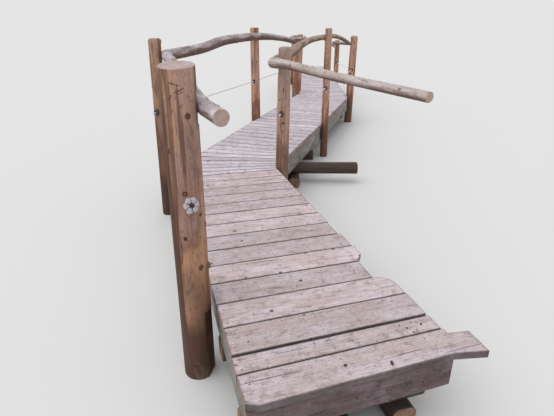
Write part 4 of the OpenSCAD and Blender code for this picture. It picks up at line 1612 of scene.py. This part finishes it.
@dataclass
class Deck:
    """The walking deck: its boards, headers and stringers."""

    effects: WoodEffects
    board: SawnFinish = SawnFinish(
        "Sawn deck board", srgb(230, 217, 225), srgb(216, 198, 197), srgb(134, 112, 111), srgb(62, 50, 48))
    # A paler, cooler copy of the deck board finish: painted light on the far sections.
    far_board: SawnFinish = SawnFinish(
        "Cool deck board", srgb(244, 236, 248), srgb(230, 219, 228), srgb(128, 110, 116), srgb(56, 45, 45),
        smudges=0.4)
    # The header's colours are darkened as painted shade, for a face that stands in shade below the boards.
    header: SawnFinish = SawnFinish(
        "Sawn header board", srgb(132, 115, 120), srgb(106, 88, 90), srgb(62, 50, 50), srgb(106, 92, 94),
        saw_strength=0.45, smudges=0.6, on_edge=True)
    stringer: SawnFinish = SawnFinish(
        "Treated stringer", srgb(158, 158, 154), srgb(132, 126, 116), srgb(80, 76, 72), srgb(124, 120, 114),
        saw_pitch=90.0, on_edge=True)
    knot: KnotFinish = KnotFinish("Board knot", srgb(94, 66, 58), srgb(50, 36, 34), srgb(132, 114, 114))
    end: CutEndFinish = CutEndFinish(
        "Sawn board end", srgb(172, 150, 144), srgb(118, 92, 82), srgb(150, 126, 118))
    DECKS = ("deck_near", "deck_first_bend", "deck_middle", "deck_second_bend", "deck_far")
    HEADERS = ("header_near", "header_far")
    BOARD_SEEDS = 100
    HEADER_SEED = 900
    STRINGER_SEED = 1000
    # Wider painted-shade rims on the far sections, so their gaps show as dark lines.
    FAR_RIM = 0.011
    KNOT_PROUD = 0.0011
    HEADER_KNOTS = (
        KnotPlace(0.017, 0.21, 0.014, 0.016), KnotPlace(-0.043, 0.323, 0.026, 0.02),
        KnotPlace(0.015, 0.48, 0.02, 0.024), KnotPlace(0.03, -0.17, 0.016, 0.014),
        KnotPlace(-0.05, -0.05, 0.012, 0.012))
    TOP_KNOTS = (
        KnotPlace(0.37, 0.369, 0.012, 0.02), KnotPlace(0.341, 0.294, 0.01, 0.014),
        KnotPlace(0.312, 0.319, 0.014, 0.01), KnotPlace(0.112, 0.171, 0.016, 0.034),
        KnotPlace(0.098, -0.028, 0.018, 0.02), KnotPlace(0.439, -0.184, 0.014, 0.012))

    def build(self) -> None:
        """Makes the boards, headers and stringers."""
        end, near, far, headers, stringers = (finish.make(self.effects) for finish in (
            self.end, self.board, self.far_board, self.header, self.stringer))
        for number, node in enumerate(self.DECKS):
            boards = near if node == self.DECKS[0] else far
            self._timbers(node, "_boards", [boards, end], "deck_boards", self.BOARD_SEEDS * number)
        for number, node in enumerate(self.HEADERS):
            self._timbers(node, "_board", [headers, end], "headers", self.HEADER_SEED + number)
        for number, node in enumerate(nodes_of("stringer_")):
            self._timbers(node, "_timber", [stringers, end], "stringers", self.STRINGER_SEED + number)
        self._knots()

    def _knots(self) -> None:
        """Makes the knots that show on the near header and the first boards."""
        header = solids_of(self.HEADERS[0])[0]
        front = min(header.mesh.faces, key=lambda face: face.normal.y)
        face = FlatFace(front.calc_center_median(), UP.cross(front.normal), UP)
        top = max(max(point[2] for point in solid.points) for solid in solids_of(self.DECKS[0]))
        deck = FlatFace(UP * top, TO_RIGHT, OVER_BRIDGE)
        knots = [Knot(surface, place, proud=self.KNOT_PROUD)
                 for surface, places in ((face, self.HEADER_KNOTS), (deck, self.TOP_KNOTS)) for place in places]
        lay("header_near_knots", [self.knot.make(self.effects)], knots, "headers")

    def _timbers(self, node: str, ending: str, materials: list[Material], slot: str, seed: int) -> None:
        """Makes one piece of all the timbers of a node.

        Args:
            node: The node.
            ending: What the piece's name adds to the node's.
            materials: The faces' and the ends' materials.
            slot: The record's material slot.
            seed: The first timber's seed.
        """
        # Only the deck boards get painted shade on their sides and rims.
        shade = 1.0 if slot == "deck_boards" else 0.0
        rim = Timber.shaded_rim if node == self.DECKS[0] else self.FAR_RIM
        timbers = [Timber(solid, seed + i, side_shade=shade, shaded_rim=rim)
                   for i, solid in enumerate(solids_of(node))]
        lay(node + ending, materials, timbers, slot, [node])


@dataclass
class Cribs:
    """The log cribs under the stringers."""

    effects: WoodEffects
    # The crib logs' dark colours are weathering and painted shade under the deck.
    log: LogFinish = LogFinish(
        "Weathered crib log", srgb(122, 98, 84), srgb(98, 78, 68), srgb(120, 104, 98), srgb(74, 58, 52),
        srgb(58, 44, 38), srgb(78, 70, 66), bark_cover=0.5, streak_cover=0.42)
    end: CutEndFinish = CutEndFinish("Crib log end", srgb(164, 134, 112), srgb(108, 80, 62), srgb(134, 102, 82))
    nature: LogNature = LogNature(swell=0.04, flute=0.02, rough=0.01, edge_wear=0.004)
    SEED = 2000
    COURSE_SEEDS = 10
    SHAPE = {"sides": 32, "pitch": 0.04, "exposure": Exposure.SHADED}

    def build(self) -> None:
        """Makes each course of each crib."""
        materials = [self.log.make(self.effects), self.end.make(self.effects)]
        for number, node in enumerate(nodes_of("crib_")):
            seed = self.SEED + self.COURSE_SEEDS * number
            logs = [RoundLog(solid, self.nature, seed + i, **self.SHAPE)
                    for i, solid in enumerate(solids_of(node))]
            lay(node + "_skin", materials, logs, "crib_logs", [node])


@dataclass
class Posts:
    """The round posts that carry the rails and ropes."""

    effects: WoodEffects
    bores: dict[str, list[Spot]]
    log: LogFinish = LogFinish(
        "Peeled post", srgb(186, 142, 112), srgb(138, 98, 78), srgb(190, 158, 149), srgb(74, 50, 42),
        srgb(90, 60, 48), srgb(106, 90, 80), bark_cover=0.4, streak_cover=0.44, bleach=0.85, patch_scale=8.0,
        streak_scale=22.0, streak_length=0.04)
    pale_log: LogFinish = LogFinish(
        "Pale peeled post", srgb(200, 162, 138), srgb(164, 128, 112), srgb(200, 172, 160), srgb(112, 80, 68),
        srgb(104, 74, 60), srgb(140, 114, 102), bark_cover=0.36, streak_cover=0.38, bleach=0.6,
        patch_scale=9.0, streak_scale=22.0, streak_length=0.05)
    tan_log: LogFinish = LogFinish(
        "Tan peeled post", srgb(206, 154, 124), srgb(150, 104, 82), srgb(204, 174, 158), srgb(112, 78, 62),
        srgb(100, 66, 50), srgb(150, 116, 98), bark_cover=0.38, streak_cover=0.41, bleach=0.75,
        patch_scale=11.0, streak_scale=22.0, streak_length=0.06)
    end: CutEndFinish = CutEndFinish(
        "Sawn post top", srgb(206, 188, 188), srgb(150, 124, 120), srgb(186, 162, 160))
    knot: KnotFinish = KnotFinish(
        "Branch knot", srgb(134, 98, 78), srgb(38, 26, 22), srgb(146, 110, 92), core_share=0.4)
    # Painted shade: a near-black disc where each rope goes into a post, standing for the hole's shadow.
    hole_shade: KnotFinish = KnotFinish(
        "Rope hole rim", srgb(34, 24, 20), srgb(40, 28, 22), srgb(104, 76, 64), core_share=0.62)
    burl: KnotFinish = KnotFinish(
        "Burl", srgb(176, 164, 172), srgb(64, 50, 52), srgb(206, 198, 206), core_share=0.14, star=0.95)
    nature: LogNature = LogNature(swell=0.03, flute=0.012, rough=0.004, cracks=3)
    NEAR_POST = "post_near_left"
    NEAR_POSTS = (NEAR_POST, "post_first_bend_left")
    PALE_POST = "post_first_bend_right"
    NEAR_KNOTS = (
        KnotPlace(1.414, -0.953, 0.032, 0.036), KnotPlace(1.265, -2.189, 0.028, 0.036),
        KnotPlace(1.074, -1.436, 0.036, 0.036), KnotPlace(0.96, -0.598, 0.022, 0.026),
        KnotPlace(0.898, -0.101, 0.028, 0.032), KnotPlace(0.685, -0.817, 0.036, 0.036))
    NICKS = (
        ((1.509, -1.634), (1.53, -1.036), 0.0055), ((1.505, -1.427), (1.515, -1.104), 0.003),
        ((1.552, -1.854), (1.543, -1.493), 0.0055), ((1.543, -1.493), (1.539, -1.288), 0.004),
        ((1.479, -1.996), (1.505, -1.66), 0.004))
    STUB = KnotPlace(0.662, 0.02, 0.034, 0.038)
    BURL = KnotPlace(1.016, -1.116, 0.078, 0.084)
    PALE_KNOTS = (KnotPlace(1.172, -1.66, 0.013, 0.046), KnotPlace(0.878, -1.56, 0.03, 0.034))
    STUB_PROUD = 0.011
    BURL_SHAPE = {"lobes": 0.06, "sides": 36, "proud": 0.006}
    HOLE_RIM = (0.048, 0.056)
    HOLE_PROUD = 0.0016
    SHAPE = {"sides": 56, "snug": 1.002, "exposure": Exposure.UPRIGHT}
    # Stronger painted shade on the -X side of the near post.
    NEAR_SHADED_SIDE = 0.5
    SEED = 3000
    KNOT_SEED = 5000
    EXTRA_KNOTS = 5
    KNOT_SIZES = (0.014, 0.03)
    KNOT_TALL = (1.0, 1.4)
    KNOT_CLEAR = (0.1, 0.12)
    HIDDEN_SIDE = 0.4
    LEDGE_CLEAR = (0.01, 0.05)

    def build(self) -> None:
        """Makes each post."""
        end, peeled, pale, tan, knot, burl, hole_shade = (finish.make(self.effects) for finish in (
            self.end, self.log, self.pale_log, self.tan_log, self.knot, self.burl, self.hole_shade))
        for number, node in enumerate(nodes_of("post_")):
            solid, near = solids_of(node)[0], node == self.NEAR_POST
            shaded_side = self.NEAR_SHADED_SIDE if near else RoundLog.shaded_side
            log = RoundLog(
                solid, self.nature, self.SEED + number, shaded_side=shaded_side, levels=self._levels(solid),
                bores=self.bores.get(node, []), **self.SHAPE)
            skin = peeled if node in self.NEAR_POSTS else pale if node == self.PALE_POST else tan
            lay(node + "_log", [skin, end], [log], "post_logs", [node])
            features = [Knot(log, place) for place in self._knot_places(node, log, number)]
            if near:
                features += [Nick(log, *nick) for nick in self.NICKS]
                features.append(Knot(log, self.STUB, proud=self.STUB_PROUD))
            lay(node + "_knots", [knot], features)
            if node in self.bores:
                rims = [Knot(log, place, proud=self.HOLE_PROUD) for place in self._hole_places(node, log)]
                lay(node + "_rope_holes", [hole_shade], rims)
            if near:
                lay(node + "_burl", [burl], [Knot(log, self.BURL, **self.BURL_SHAPE)])

    def _hole_places(self, node: str, log: RoundLog) -> list[KnotPlace]:
        """Finds where the rope goes in and comes out of a post.

        Args:
            node: The post's node.
            log: The post's log.

        Returns:
            The places, each with the size of its dark rim, the hole's painted shade.
        """
        places = []
        foot = log.stations[0]
        for middle, way in self.bores[node]:
            radius = log.station_at(middle.z - foot.middle.z).radius
            for sign in (-1, 1):
                spot = middle + way * (sign * radius)
                turn = math.atan2(sign * way.y, sign * way.x)
                places.append(KnotPlace(spot.z - foot.middle.z + foot.along, turn, *self.HOLE_RIM))
        return places

    def _knot_places(self, node: str, log: RoundLog, number: int) -> list[KnotPlace]:
        """Sets out the knots of a post: those that show in the photograph, and others like them.

        Args:
            node: The post's node.
            log: The post's log.
            number: Its number, which seeds the others.

        Returns:
            The knots' places.
        """
        dice = random.Random(self.KNOT_SEED + number)
        seen = {self.NEAR_POST: self.NEAR_KNOTS, self.PALE_POST: self.PALE_KNOTS}.get(node, ())
        places = list(seen)
        low, high = self.KNOT_CLEAR[0], log.stations[-1].along - self.KNOT_CLEAR[1]
        while len(places) < self.EXTRA_KNOTS + len(seen):
            size = dice.uniform(*self.KNOT_SIZES)
            height, turn = dice.uniform(low, high), dice.uniform(0.0, math.tau)
            places.append(KnotPlace(height, turn, size, size * dice.uniform(*self.KNOT_TALL)))
            if node == self.NEAR_POST and math.sin(places[-1].turn) < self.HIDDEN_SIDE:
                places.pop()
        return places

    @staticmethod
    def _levels(solid: CadSolid) -> list[float]:
        """Finds the ledges that are cut into a post.

        Args:
            solid: The post's solid.

        Returns:
            Their heights.
        """
        heights: dict[int, float] = {}
        low, high = solid.span(UP)
        foot, top = Posts.LEDGE_CLEAR
        for face in solid.mesh.faces:
            level = face.calc_center_median().z
            if abs(face.normal.z) > LEVEL and low + foot < level < high - top:
                heights[round(level / MILLIMETRE)] = level
        return sorted(heights.values())


@dataclass
class Rails:
    """The natural log handrails."""

    effects: WoodEffects
    barked: LogFinish = LogFinish(
        "Rail with bark", srgb(160, 130, 118), srgb(118, 90, 80), srgb(218, 211, 217), srgb(92, 68, 60),
        srgb(88, 66, 60), srgb(118, 98, 94), bark_cover=0.5, streak_cover=0.42, bleach=1.0, relief=0.004)
    peeled: LogFinish = LogFinish(
        "Peeled rail", srgb(194, 172, 163), srgb(160, 137, 129), srgb(226, 216, 213), srgb(110, 88, 82),
        srgb(112, 90, 84), srgb(146, 128, 122), bark_cover=0.4, streak_cover=0.39, bleach=0.95)
    brown: LogFinish = LogFinish(
        "Brown rail", srgb(164, 128, 106), srgb(122, 92, 76), srgb(192, 168, 156), srgb(88, 64, 54),
        srgb(86, 62, 52), srgb(118, 96, 86), bark_cover=0.42, streak_cover=0.44, bleach=0.8)
    end: CutEndFinish = CutEndFinish(
        "Sawn rail end", srgb(200, 176, 166), srgb(146, 118, 108), srgb(178, 152, 142))
    knot: KnotFinish = KnotFinish("Rail knot", srgb(214, 188, 170), srgb(66, 48, 42), srgb(158, 136, 130))
    nature: LogNature = LogNature(swell=0.05, flute=0.015, rough=0.014)
    SHAPE = {"sides": 36, "pitch": 0.02}
    # Underside darkness of the near and far rails: painted shade below a sun-bleached top.
    BLEACHED = 0.26
    BROWN = 0.38
    SEED = 4000
    KNOT_SEED = 6000
    KNOT_PITCH = 0.16
    KNOT_SIZES = (0.012, 0.024)
    KNOT_TALL = 1.25
    KNOT_SPREAD = (0.2, 0.8)
    KNOT_SHAPE = {"sides": 12, "proud": 0.0028}
    KNOT_CLEAR = 0.05

    def build(self) -> None:
        """Makes each rail with its knots."""
        end, knot, barked, peeled, brown = (finish.make(self.effects) for finish in (
            self.end, self.knot, self.barked, self.peeled, self.brown))
        for number, node in enumerate(nodes_of("rail_")):
            near = "_near_" in node
            material = barked if node.endswith("left") else peeled if near else brown
            shade = self.BLEACHED if near else self.BROWN
            log = RoundLog(
                solids_of(node)[0], self.nature, self.SEED + number, underside=shade, **self.SHAPE)
            lay(node + "_log", [material, end], [log], "rail_logs", [node])
            places = self._knot_places(log.stations[-1].along, number)
            lay(node + "_knots", [knot], [Knot(log, place, **self.KNOT_SHAPE) for place in places])

    def _knot_places(self, length: float, number: int) -> list[KnotPlace]:
        """Sets out the knots along a rail.

        Args:
            length: The rail's length.
            number: Its number, which seeds them.

        Returns:
            The knots' places.
        """
        dice = random.Random(self.KNOT_SEED + number)
        count = max(2, round(length / self.KNOT_PITCH))
        places = []
        for k in range(count):
            size = dice.uniform(*self.KNOT_SIZES)
            along = length * (k + dice.uniform(*self.KNOT_SPREAD)) / count
            along = min(max(along, self.KNOT_CLEAR), length - self.KNOT_CLEAR)
            places.append(KnotPlace(along, dice.uniform(0, math.tau), size, size * self.KNOT_TALL))
        return places


@dataclass
class LaidRope:
    """A laid three-strand rope along a path."""

    path: list[Vector]
    radius: float
    lay: float = 0.038
    step: float = 0.0045
    sides: int = 15
    soiled_and_shaded: float = 0.0
    STRANDS = 3
    GROOVE = 0.32
    GROOVE_SLOPE = 2.2

    def build(self) -> Mesh:
        """Builds the rope.

        Returns:
            Its mesh.
        """
        places = self._even()
        part = Part()
        rings = part.tube(self.sides, len(places))
        out = None
        for i, (ring, place) in enumerate(zip(rings, places)):
            way = (places[min(i + 1, len(places) - 1)] - places[max(i - 1, 0)]).normalized()
            out = way.orthogonal() if out is None else out
            out = (out - way * out.dot(way)).normalized()
            across = way.cross(out)
            for k, vert in enumerate(ring):
                angle = math.tau * k / self.sides
                crown = abs(((angle * self.STRANDS / math.tau) % 1.0) * 2 - 1)
                depth = (1 - crown) ** self.GROOVE_SLOPE
                turn = angle + math.tau * i * self.step / self.lay
                radius = self.radius * (1 - self.GROOVE * depth)
                vert.co = place + (out * math.cos(turn) + across * math.sin(turn)) * radius
                vert[part.grain] = Vector((radius * math.cos(angle), radius * math.sin(angle), i * self.step))
                # The tone carries each vertex's groove depth, for the painted shade in the grooves.
                vert[part.tone] = depth
                vert[part.weather] = self.soiled_and_shaded
        part.cap(rings[-1])
        part.cap(rings[0])
        return part.done()

    def _even(self) -> list[Vector]:
        """Parts the path evenly.

        Returns:
            Points at even steps.
        """
        points = np.array([p[:] for p in self.path])
        runs = np.concatenate([[0.0], np.cumsum(np.linalg.norm(np.diff(points, axis=0), axis=1))])
        wanted = np.linspace(0.0, runs[-1], max(2, round(runs[-1] / self.step)) + 1)
        sides = [np.interp(wanted, runs, points[:, side]) for side in range(3)]
        return [Vector(row) for row in np.column_stack(sides)]


@dataclass
class Ropes:
    """The taut rope mid-rails with a stopper knot outside either end post."""

    effects: WoodEffects
    finish: RopeFinish = RopeFinish("Laid white rope", srgb(250, 250, 248), srgb(178, 173, 168))
    radius: float = 0.006
    knot_reach: float = 0.011
    knot_turns: float = 3.1
    knot_pitch: float = 0.0105
    NODES = ("rope_left", "rope_right")
    STEP = 0.02
    HOLE_REACH = 0.03
    TAIL_STEPS = 8
    GIRTHS = 60
    GIRTH_STEP = 0.002
    WIDE = 0.98
    KNOT_SOIL_AND_SHADE = 0.93
    KNOT_THIN = 0.96
    KNOT_STEPS = 70
    TUCKED = 0.35
    TUCK_SLOPE = 9

    def __post_init__(self) -> None:
        """Finds each rope's path."""
        self.paths = {node: self._path(solids_of(node)[0]) for node in self.NODES}

    def _path(self, solid: CadSolid) -> list[Vector]:
        """Cuts a rope's solid at even steps.

        Args:
            solid: The rope's solid.

        Returns:
            The cuts' middles, from end to end.
        """
        low, high = solid.span(OVER_BRIDGE)
        count = round((high - low) / self.STEP)
        run = high - low - 2 * HAIR
        return [solid.section(OVER_BRIDGE, low + HAIR + run * i / count)[0] for i in range(count + 1)]

    def _knot_middles(self, node: str) -> list[Spot]:
        """Finds the stopper knots of a rope where its solid is widest near its ends.

        Args:
            node: The rope's node.

        Returns:
            The place of the knot at either end, and the way out along the rope.
        """
        solid = solids_of(node)[0]
        path = self.paths[node]
        found = []
        for some in (path[:self.TAIL_STEPS], path[::-1][:self.TAIL_STEPS]):
            way = (some[0] - some[-1]).normalized()
            places = [some[0] - way * (self.GIRTH_STEP * (i + 0.5)) for i in range(self.GIRTHS)]
            girths = [solid.section(OVER_BRIDGE, place.y)[1] for place in places]
            wide = [place for place, girth in zip(places, girths) if girth > max(girths) * self.WIDE]
            found.append((sum(wide, Vector()) / len(wide), way))
        return found

    def bores(self) -> dict[str, list[Spot]]:
        """Finds where the ropes pass through the posts.

        Returns:
            The middle and the direction of each pass, by the post's node.
        """
        found: dict[str, list[Spot]] = {}
        for node in nodes_of("post_"):
            low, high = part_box(node)
            middle = (Vector(low) + Vector(high)) / 2
            for path in self.paths.values():
                near = min(range(len(path)), key=lambda i: (path[i].xy - middle.xy).length)
                if (path[near].xy - middle.xy).length < self.HOLE_REACH:
                    after, before = min(near + 1, len(path) - 1), max(near - 1, 0)
                    found.setdefault(node, []).append((path[near], (path[after] - path[before]).normalized()))
        return found

    def build(self) -> None:
        """Makes each rope with its knots."""
        material = self.finish.make(self.effects)
        for node in self.NODES:
            # The stopper knots are darkened with dirt and painted shade.
            coils = [LaidRope(self._coil(*knot), self.radius * self.KNOT_THIN, soiled_and_shaded=self.KNOT_SOIL_AND_SHADE)
                     for knot in self._knot_middles(node)]
            lay(node + "_laid", [material], [LaidRope(self.paths[node], self.radius), *coils], "rope", [node])

    def _coil(self, middle: Vector, way: Vector) -> list[Vector]:
        """Winds a stopper knot round the rope.

        Args:
            middle: The knot's middle.
            way: The unit direction of the rope.

        Returns:
            Points along its turns.
        """
        out = way.orthogonal()
        across = way.cross(out)
        points = []
        for i in range(self.KNOT_STEPS + 1):
            share = i / self.KNOT_STEPS
            turn = math.tau * self.knot_turns * share
            ease = min(1.0, share * self.TUCK_SLOPE, (1 - share) * self.TUCK_SLOPE)
            reach = self.knot_reach * (self.TUCKED + (1 - self.TUCKED) * ease)
            run = (share - 0.5) * self.knot_turns * self.knot_pitch
            points.append(middle + way * run + (out * math.cos(turn) + across * math.sin(turn)) * reach)
        return points


@dataclass
class Fixings:
    """The screws that hold the boards and the bolts that hold the posts."""

    effects: WoodEffects
    finish: SteelFinish = SteelFinish("Dulled zinc", srgb(122, 118, 116), srgb(92, 62, 46))
    screw: Profile = (
        (0.0042, -0.0012), (0.0042, 0.0002), (0.0034, 0.0006), (0.0017, 0.0006), (0.0012, -0.0008))
    washer: Profile = ((0.014, -0.004), (0.014, 0.0006), (0.0132, 0.0012), (0.0095, 0.0012))
    bolt: Profile = ((0.0095, 0.0), (0.0095, 0.0062), (0.0086, 0.0072))
    bolt_turn: float = math.radians(38)
    edge_share: float = 0.27
    end_clear: float = 0.02
    SCREW_SIDES = 8
    WASHER_SIDES = 14
    BOLT_SIDES = 6
    EDGE_CLEAR = 0.012
    FEEL_FROM = 0.01
    FEEL_DEPTH = 0.012
    LEAST_CROSSING = 0.3
    BOLT_HEIGHTS = (0.285, 0.365)
    BOLT_REACH = 0.3

    def build(self) -> None:
        """Makes the screws of each stretch of deck, and the posts' bolts."""
        steel = self.finish.make(self.effects)
        lines = [self._line(solids_of(node)[0]) for node in nodes_of("stringer_")]
        screw, washer, bolt = (self._turned(profile, sides) for profile, sides in (
            (self.screw, self.SCREW_SIDES), (self.washer, self.WASHER_SIDES), (self.bolt, self.BOLT_SIDES)))
        boards = []
        for node in Deck.DECKS:
            piece = Piece(node + "_screws", [steel])
            for solid in solids_of(node):
                boards.append(Vector(solid.points.mean(axis=0)))
                for place in self._screw_places(solid, lines):
                    self._stamp(piece, screw, place, UP)
            piece.finish()
        for node in nodes_of("post_"):
            piece = Piece(node + "_bolts", [steel])
            for place, way in self._bolt_places(node, boards):
                self._stamp(piece, washer, place, way)
                self._stamp(piece, bolt, place, way)
            piece.finish()

    @staticmethod
    def _line(solid: CadSolid) -> tuple[Vector, Vector, float]:
        """Measures a stringer in plan.

        Args:
            solid: The stringer.

        Returns:
            Its middle, direction and half length.
        """
        axis = solid.main_axis()
        low, high = solid.span(axis)
        middle = Vector((solid.points.min(axis=0) + solid.points.max(axis=0)) / 2)
        flat = Vector((axis.x, axis.y, 0.0)).normalized()
        return middle, flat, (high - low) / 2

    def _screw_places(self, solid: CadSolid, lines: list[tuple[Vector, Vector, float]]) -> list[Vector]:
        """Finds where screws go down through a board into the stringers below.

        Args:
            solid: The board.
            lines: The stringers' middles, directions and half lengths.

        Returns:
            The places on the board's top.
        """
        axis = solid.main_axis()
        side = UP.cross(axis).normalized()
        top = solid.span(UP)[1]
        places = []
        for middle, way, half in lines:
            for sign in (-1, 1):
                spot = self._over_stringer(solid, middle, way, axis, side, sign)
                if spot is None or abs((spot - middle).dot(way)) > half:
                    continue
                spot.z = top + self.FEEL_FROM
                felt = [solid.feel(spot + axis * run + side * over, -UP)
                        for run in (-self.end_clear, self.end_clear)
                        for over in (-self.EDGE_CLEAR, self.EDGE_CLEAR)]
                if all(depth is not None and depth < self.FEEL_DEPTH for depth in felt):
                    spot.z = top
                    places.append(spot)
        return places

    def _over_stringer(self, solid: CadSolid, middle: Vector, way: Vector, axis: Vector, side: Vector,
                       sign: int) -> Vector | None:
        """Finds where a row of screws along a board crosses a stringer's middle line.

        Args:
            solid: The board.
            middle: The stringer's middle.
            way: The stringer's direction.
            axis: The board's direction.
            side: The direction across the board.
            sign: Which of the board's two rows.

        Returns:
            The place, or None where the board and the stringer run too much alike.
        """
        centre = Vector(solid.points.mean(axis=0))
        low, high = solid.span(side)
        start = centre + side * ((low + high) / 2 - centre.dot(side) + sign * self.edge_share * (high - low))
        cross = axis.x * way.y - axis.y * way.x
        if abs(cross) < self.LEAST_CROSSING:
            return None
        gap = middle - start
        run = (gap.x * way.y - gap.y * way.x) / cross
        return start + axis * run

    @staticmethod
    def _turned(profile: Sequence[tuple[float, float]], sides: int) -> bpy.types.Mesh:
        """Turns a shape that stands along +Z.

        Args:
            profile: Radius and height of each ring, from the foot up.
            sides: Faces round it.

        Returns:
            Its mesh.
        """
        part = Part()
        rings = part.tube(sides, len(profile))
        for ring, (radius, height) in zip(rings, profile):
            for k, vert in enumerate(ring):
                angle = math.tau * k / sides
                vert.co = Vector((radius * math.cos(angle), radius * math.sin(angle), height))
        part.cap(rings[-1])
        part.cap(rings[0])
        made = bpy.data.meshes.new("stamp")
        part.done().to_mesh(made)
        part.mesh.free()
        return made

    @staticmethod
    def _stamp(piece: Piece, stamp: bpy.types.Mesh, place: Vector, way: Vector) -> None:
        """Sets a copy of a turned shape into a piece.

        Args:
            piece: The piece.
            stamp: The shape.
            place: Where its foot goes.
            way: The direction that it stands in.
        """
        matrix = Matrix.Translation(place) @ UP.rotation_difference(way).to_matrix().to_4x4()
        copy = stamp.copy()
        copy.transform(matrix)
        piece.mesh.from_mesh(copy)
        bpy.data.meshes.remove(copy)

    def _bolt_places(self, node: str, boards: list[Vector]) -> list[Spot]:
        """Finds where bolts go through a post, on its side away from the deck.

        Args:
            node: The post's node.
            boards: The boards' middles.

        Returns:
            The places, each with the way out of the post.
        """
        solid = solids_of(node)[0]
        x, y, _ = solid.circle(self.BOLT_HEIGHTS[0])
        near = min(boards, key=lambda board: math.hypot(board.x - x, board.y - y))
        way = Vector((x - near.x, y - near.y, 0.0)).normalized()
        way.rotate(Matrix.Rotation(math.copysign(self.bolt_turn, x - near.x), 3, "Z"))
        places = []
        for height in self.BOLT_HEIGHTS:
            start = Vector((x, y, height)) + way * self.BOLT_REACH
            felt = solid.feel(start, -way)
            if felt is not None:
                places.append((start - way * felt, way))
        return places


class Studio:
    """The plain pale floor, the soft light and the camera."""

    EYE = Vector((-0.316, -1.364, 1.82))
    PITCH_DOWN = math.radians(23.856)
    LENS = 29.24
    SENSOR = 36.0
    FLOOR_ROUGHNESS = 0.95
    FLOOR_SIZE = 400.0
    SKY_LEVEL = 0.62
    SUN_LEVEL = 1.25
    SUN_SPREAD = math.radians(70)
    SUN_TILT = (math.radians(14), math.radians(-22), 0.0)
    BACKGROUND = 0.784
    WHITE = (1.0, 1.0, 1.0, 1.0)
    PALE = (0.80, 0.80, 0.80, 1.0)

    def build(self) -> None:
        """Makes the floor, light and camera."""
        self._camera()
        self._floor()
        self._light()
        bpy.context.scene.view_settings.view_transform = "Standard"

    def _camera(self) -> None:
        """Stands the camera before the near end, looking along the bridge."""
        data = bpy.data.cameras.new("Camera")
        data.lens = self.LENS
        data.sensor_width = self.SENSOR
        data.clip_end = self.FLOOR_SIZE
        camera = bpy.data.objects.new("Camera", data)
        camera.location = self.EYE
        camera.rotation_euler = (math.pi / 2 - self.PITCH_DOWN, 0.0, 0.0)
        bpy.context.scene.collection.objects.link(camera)
        bpy.context.scene.camera = camera

    def _floor(self) -> None:
        """Lays the floor at the feet of the posts."""
        material, grove, shader = new_material("Pale floor")
        grove.fill(shader, Base_Color=self.PALE, Roughness=self.FLOOR_ROUGHNESS, Specular_IOR_Level=0.0)
        shape = bmesh.new()
        bmesh.ops.create_grid(shape, x_segments=2, y_segments=2, size=self.FLOOR_SIZE / 2)
        data = bpy.data.meshes.new("Floor")
        shape.to_mesh(data)
        shape.free()
        data.materials.append(material)
        floor = bpy.data.objects.new("Floor", data)
        bpy.context.scene.collection.objects.link(floor)

    def _light(self) -> None:
        """Lights everything evenly from the sky, with one broad soft lamp overhead."""
        world = bpy.data.worlds.new("Sky")
        bpy.context.scene.world = world
        world.use_nodes = True
        grove = Grove(world.node_tree)
        path = grove.node("ShaderNodeLightPath").outputs
        direct = grove.maths("MAXIMUM", path["Is Camera Ray"], path["Is Glossy Ray"])
        direct = grove.maths("MAXIMUM", direct, path["Is Transmission Ray"])
        level = grove.maths(
            "ADD", self.SKY_LEVEL, grove.maths("MULTIPLY", direct, self.BACKGROUND - self.SKY_LEVEL))
        grove.fill(world.node_tree.nodes["Background"], Color=self.WHITE, Strength=level)
        lamp = bpy.data.lights.new("Overhead", "SUN")
        lamp.energy = self.SUN_LEVEL
        lamp.angle = self.SUN_SPREAD
        overhead = bpy.data.objects.new("Overhead", lamp)
        overhead.rotation_euler = self.SUN_TILT
        bpy.context.scene.collection.objects.link(overhead)


def main() -> None:
    logging.basicConfig(level=logging.INFO, format="%(message)s")
    Studio().build()
    effects = WoodEffects()
    ropes = Ropes(effects)
    for assembly in (Deck(effects), Cribs(effects), Posts(effects, ropes.bores()), Rails(effects), ropes,
                     Fixings(effects)):
        assembly.build()


if __name__ == "__main__":
    main()
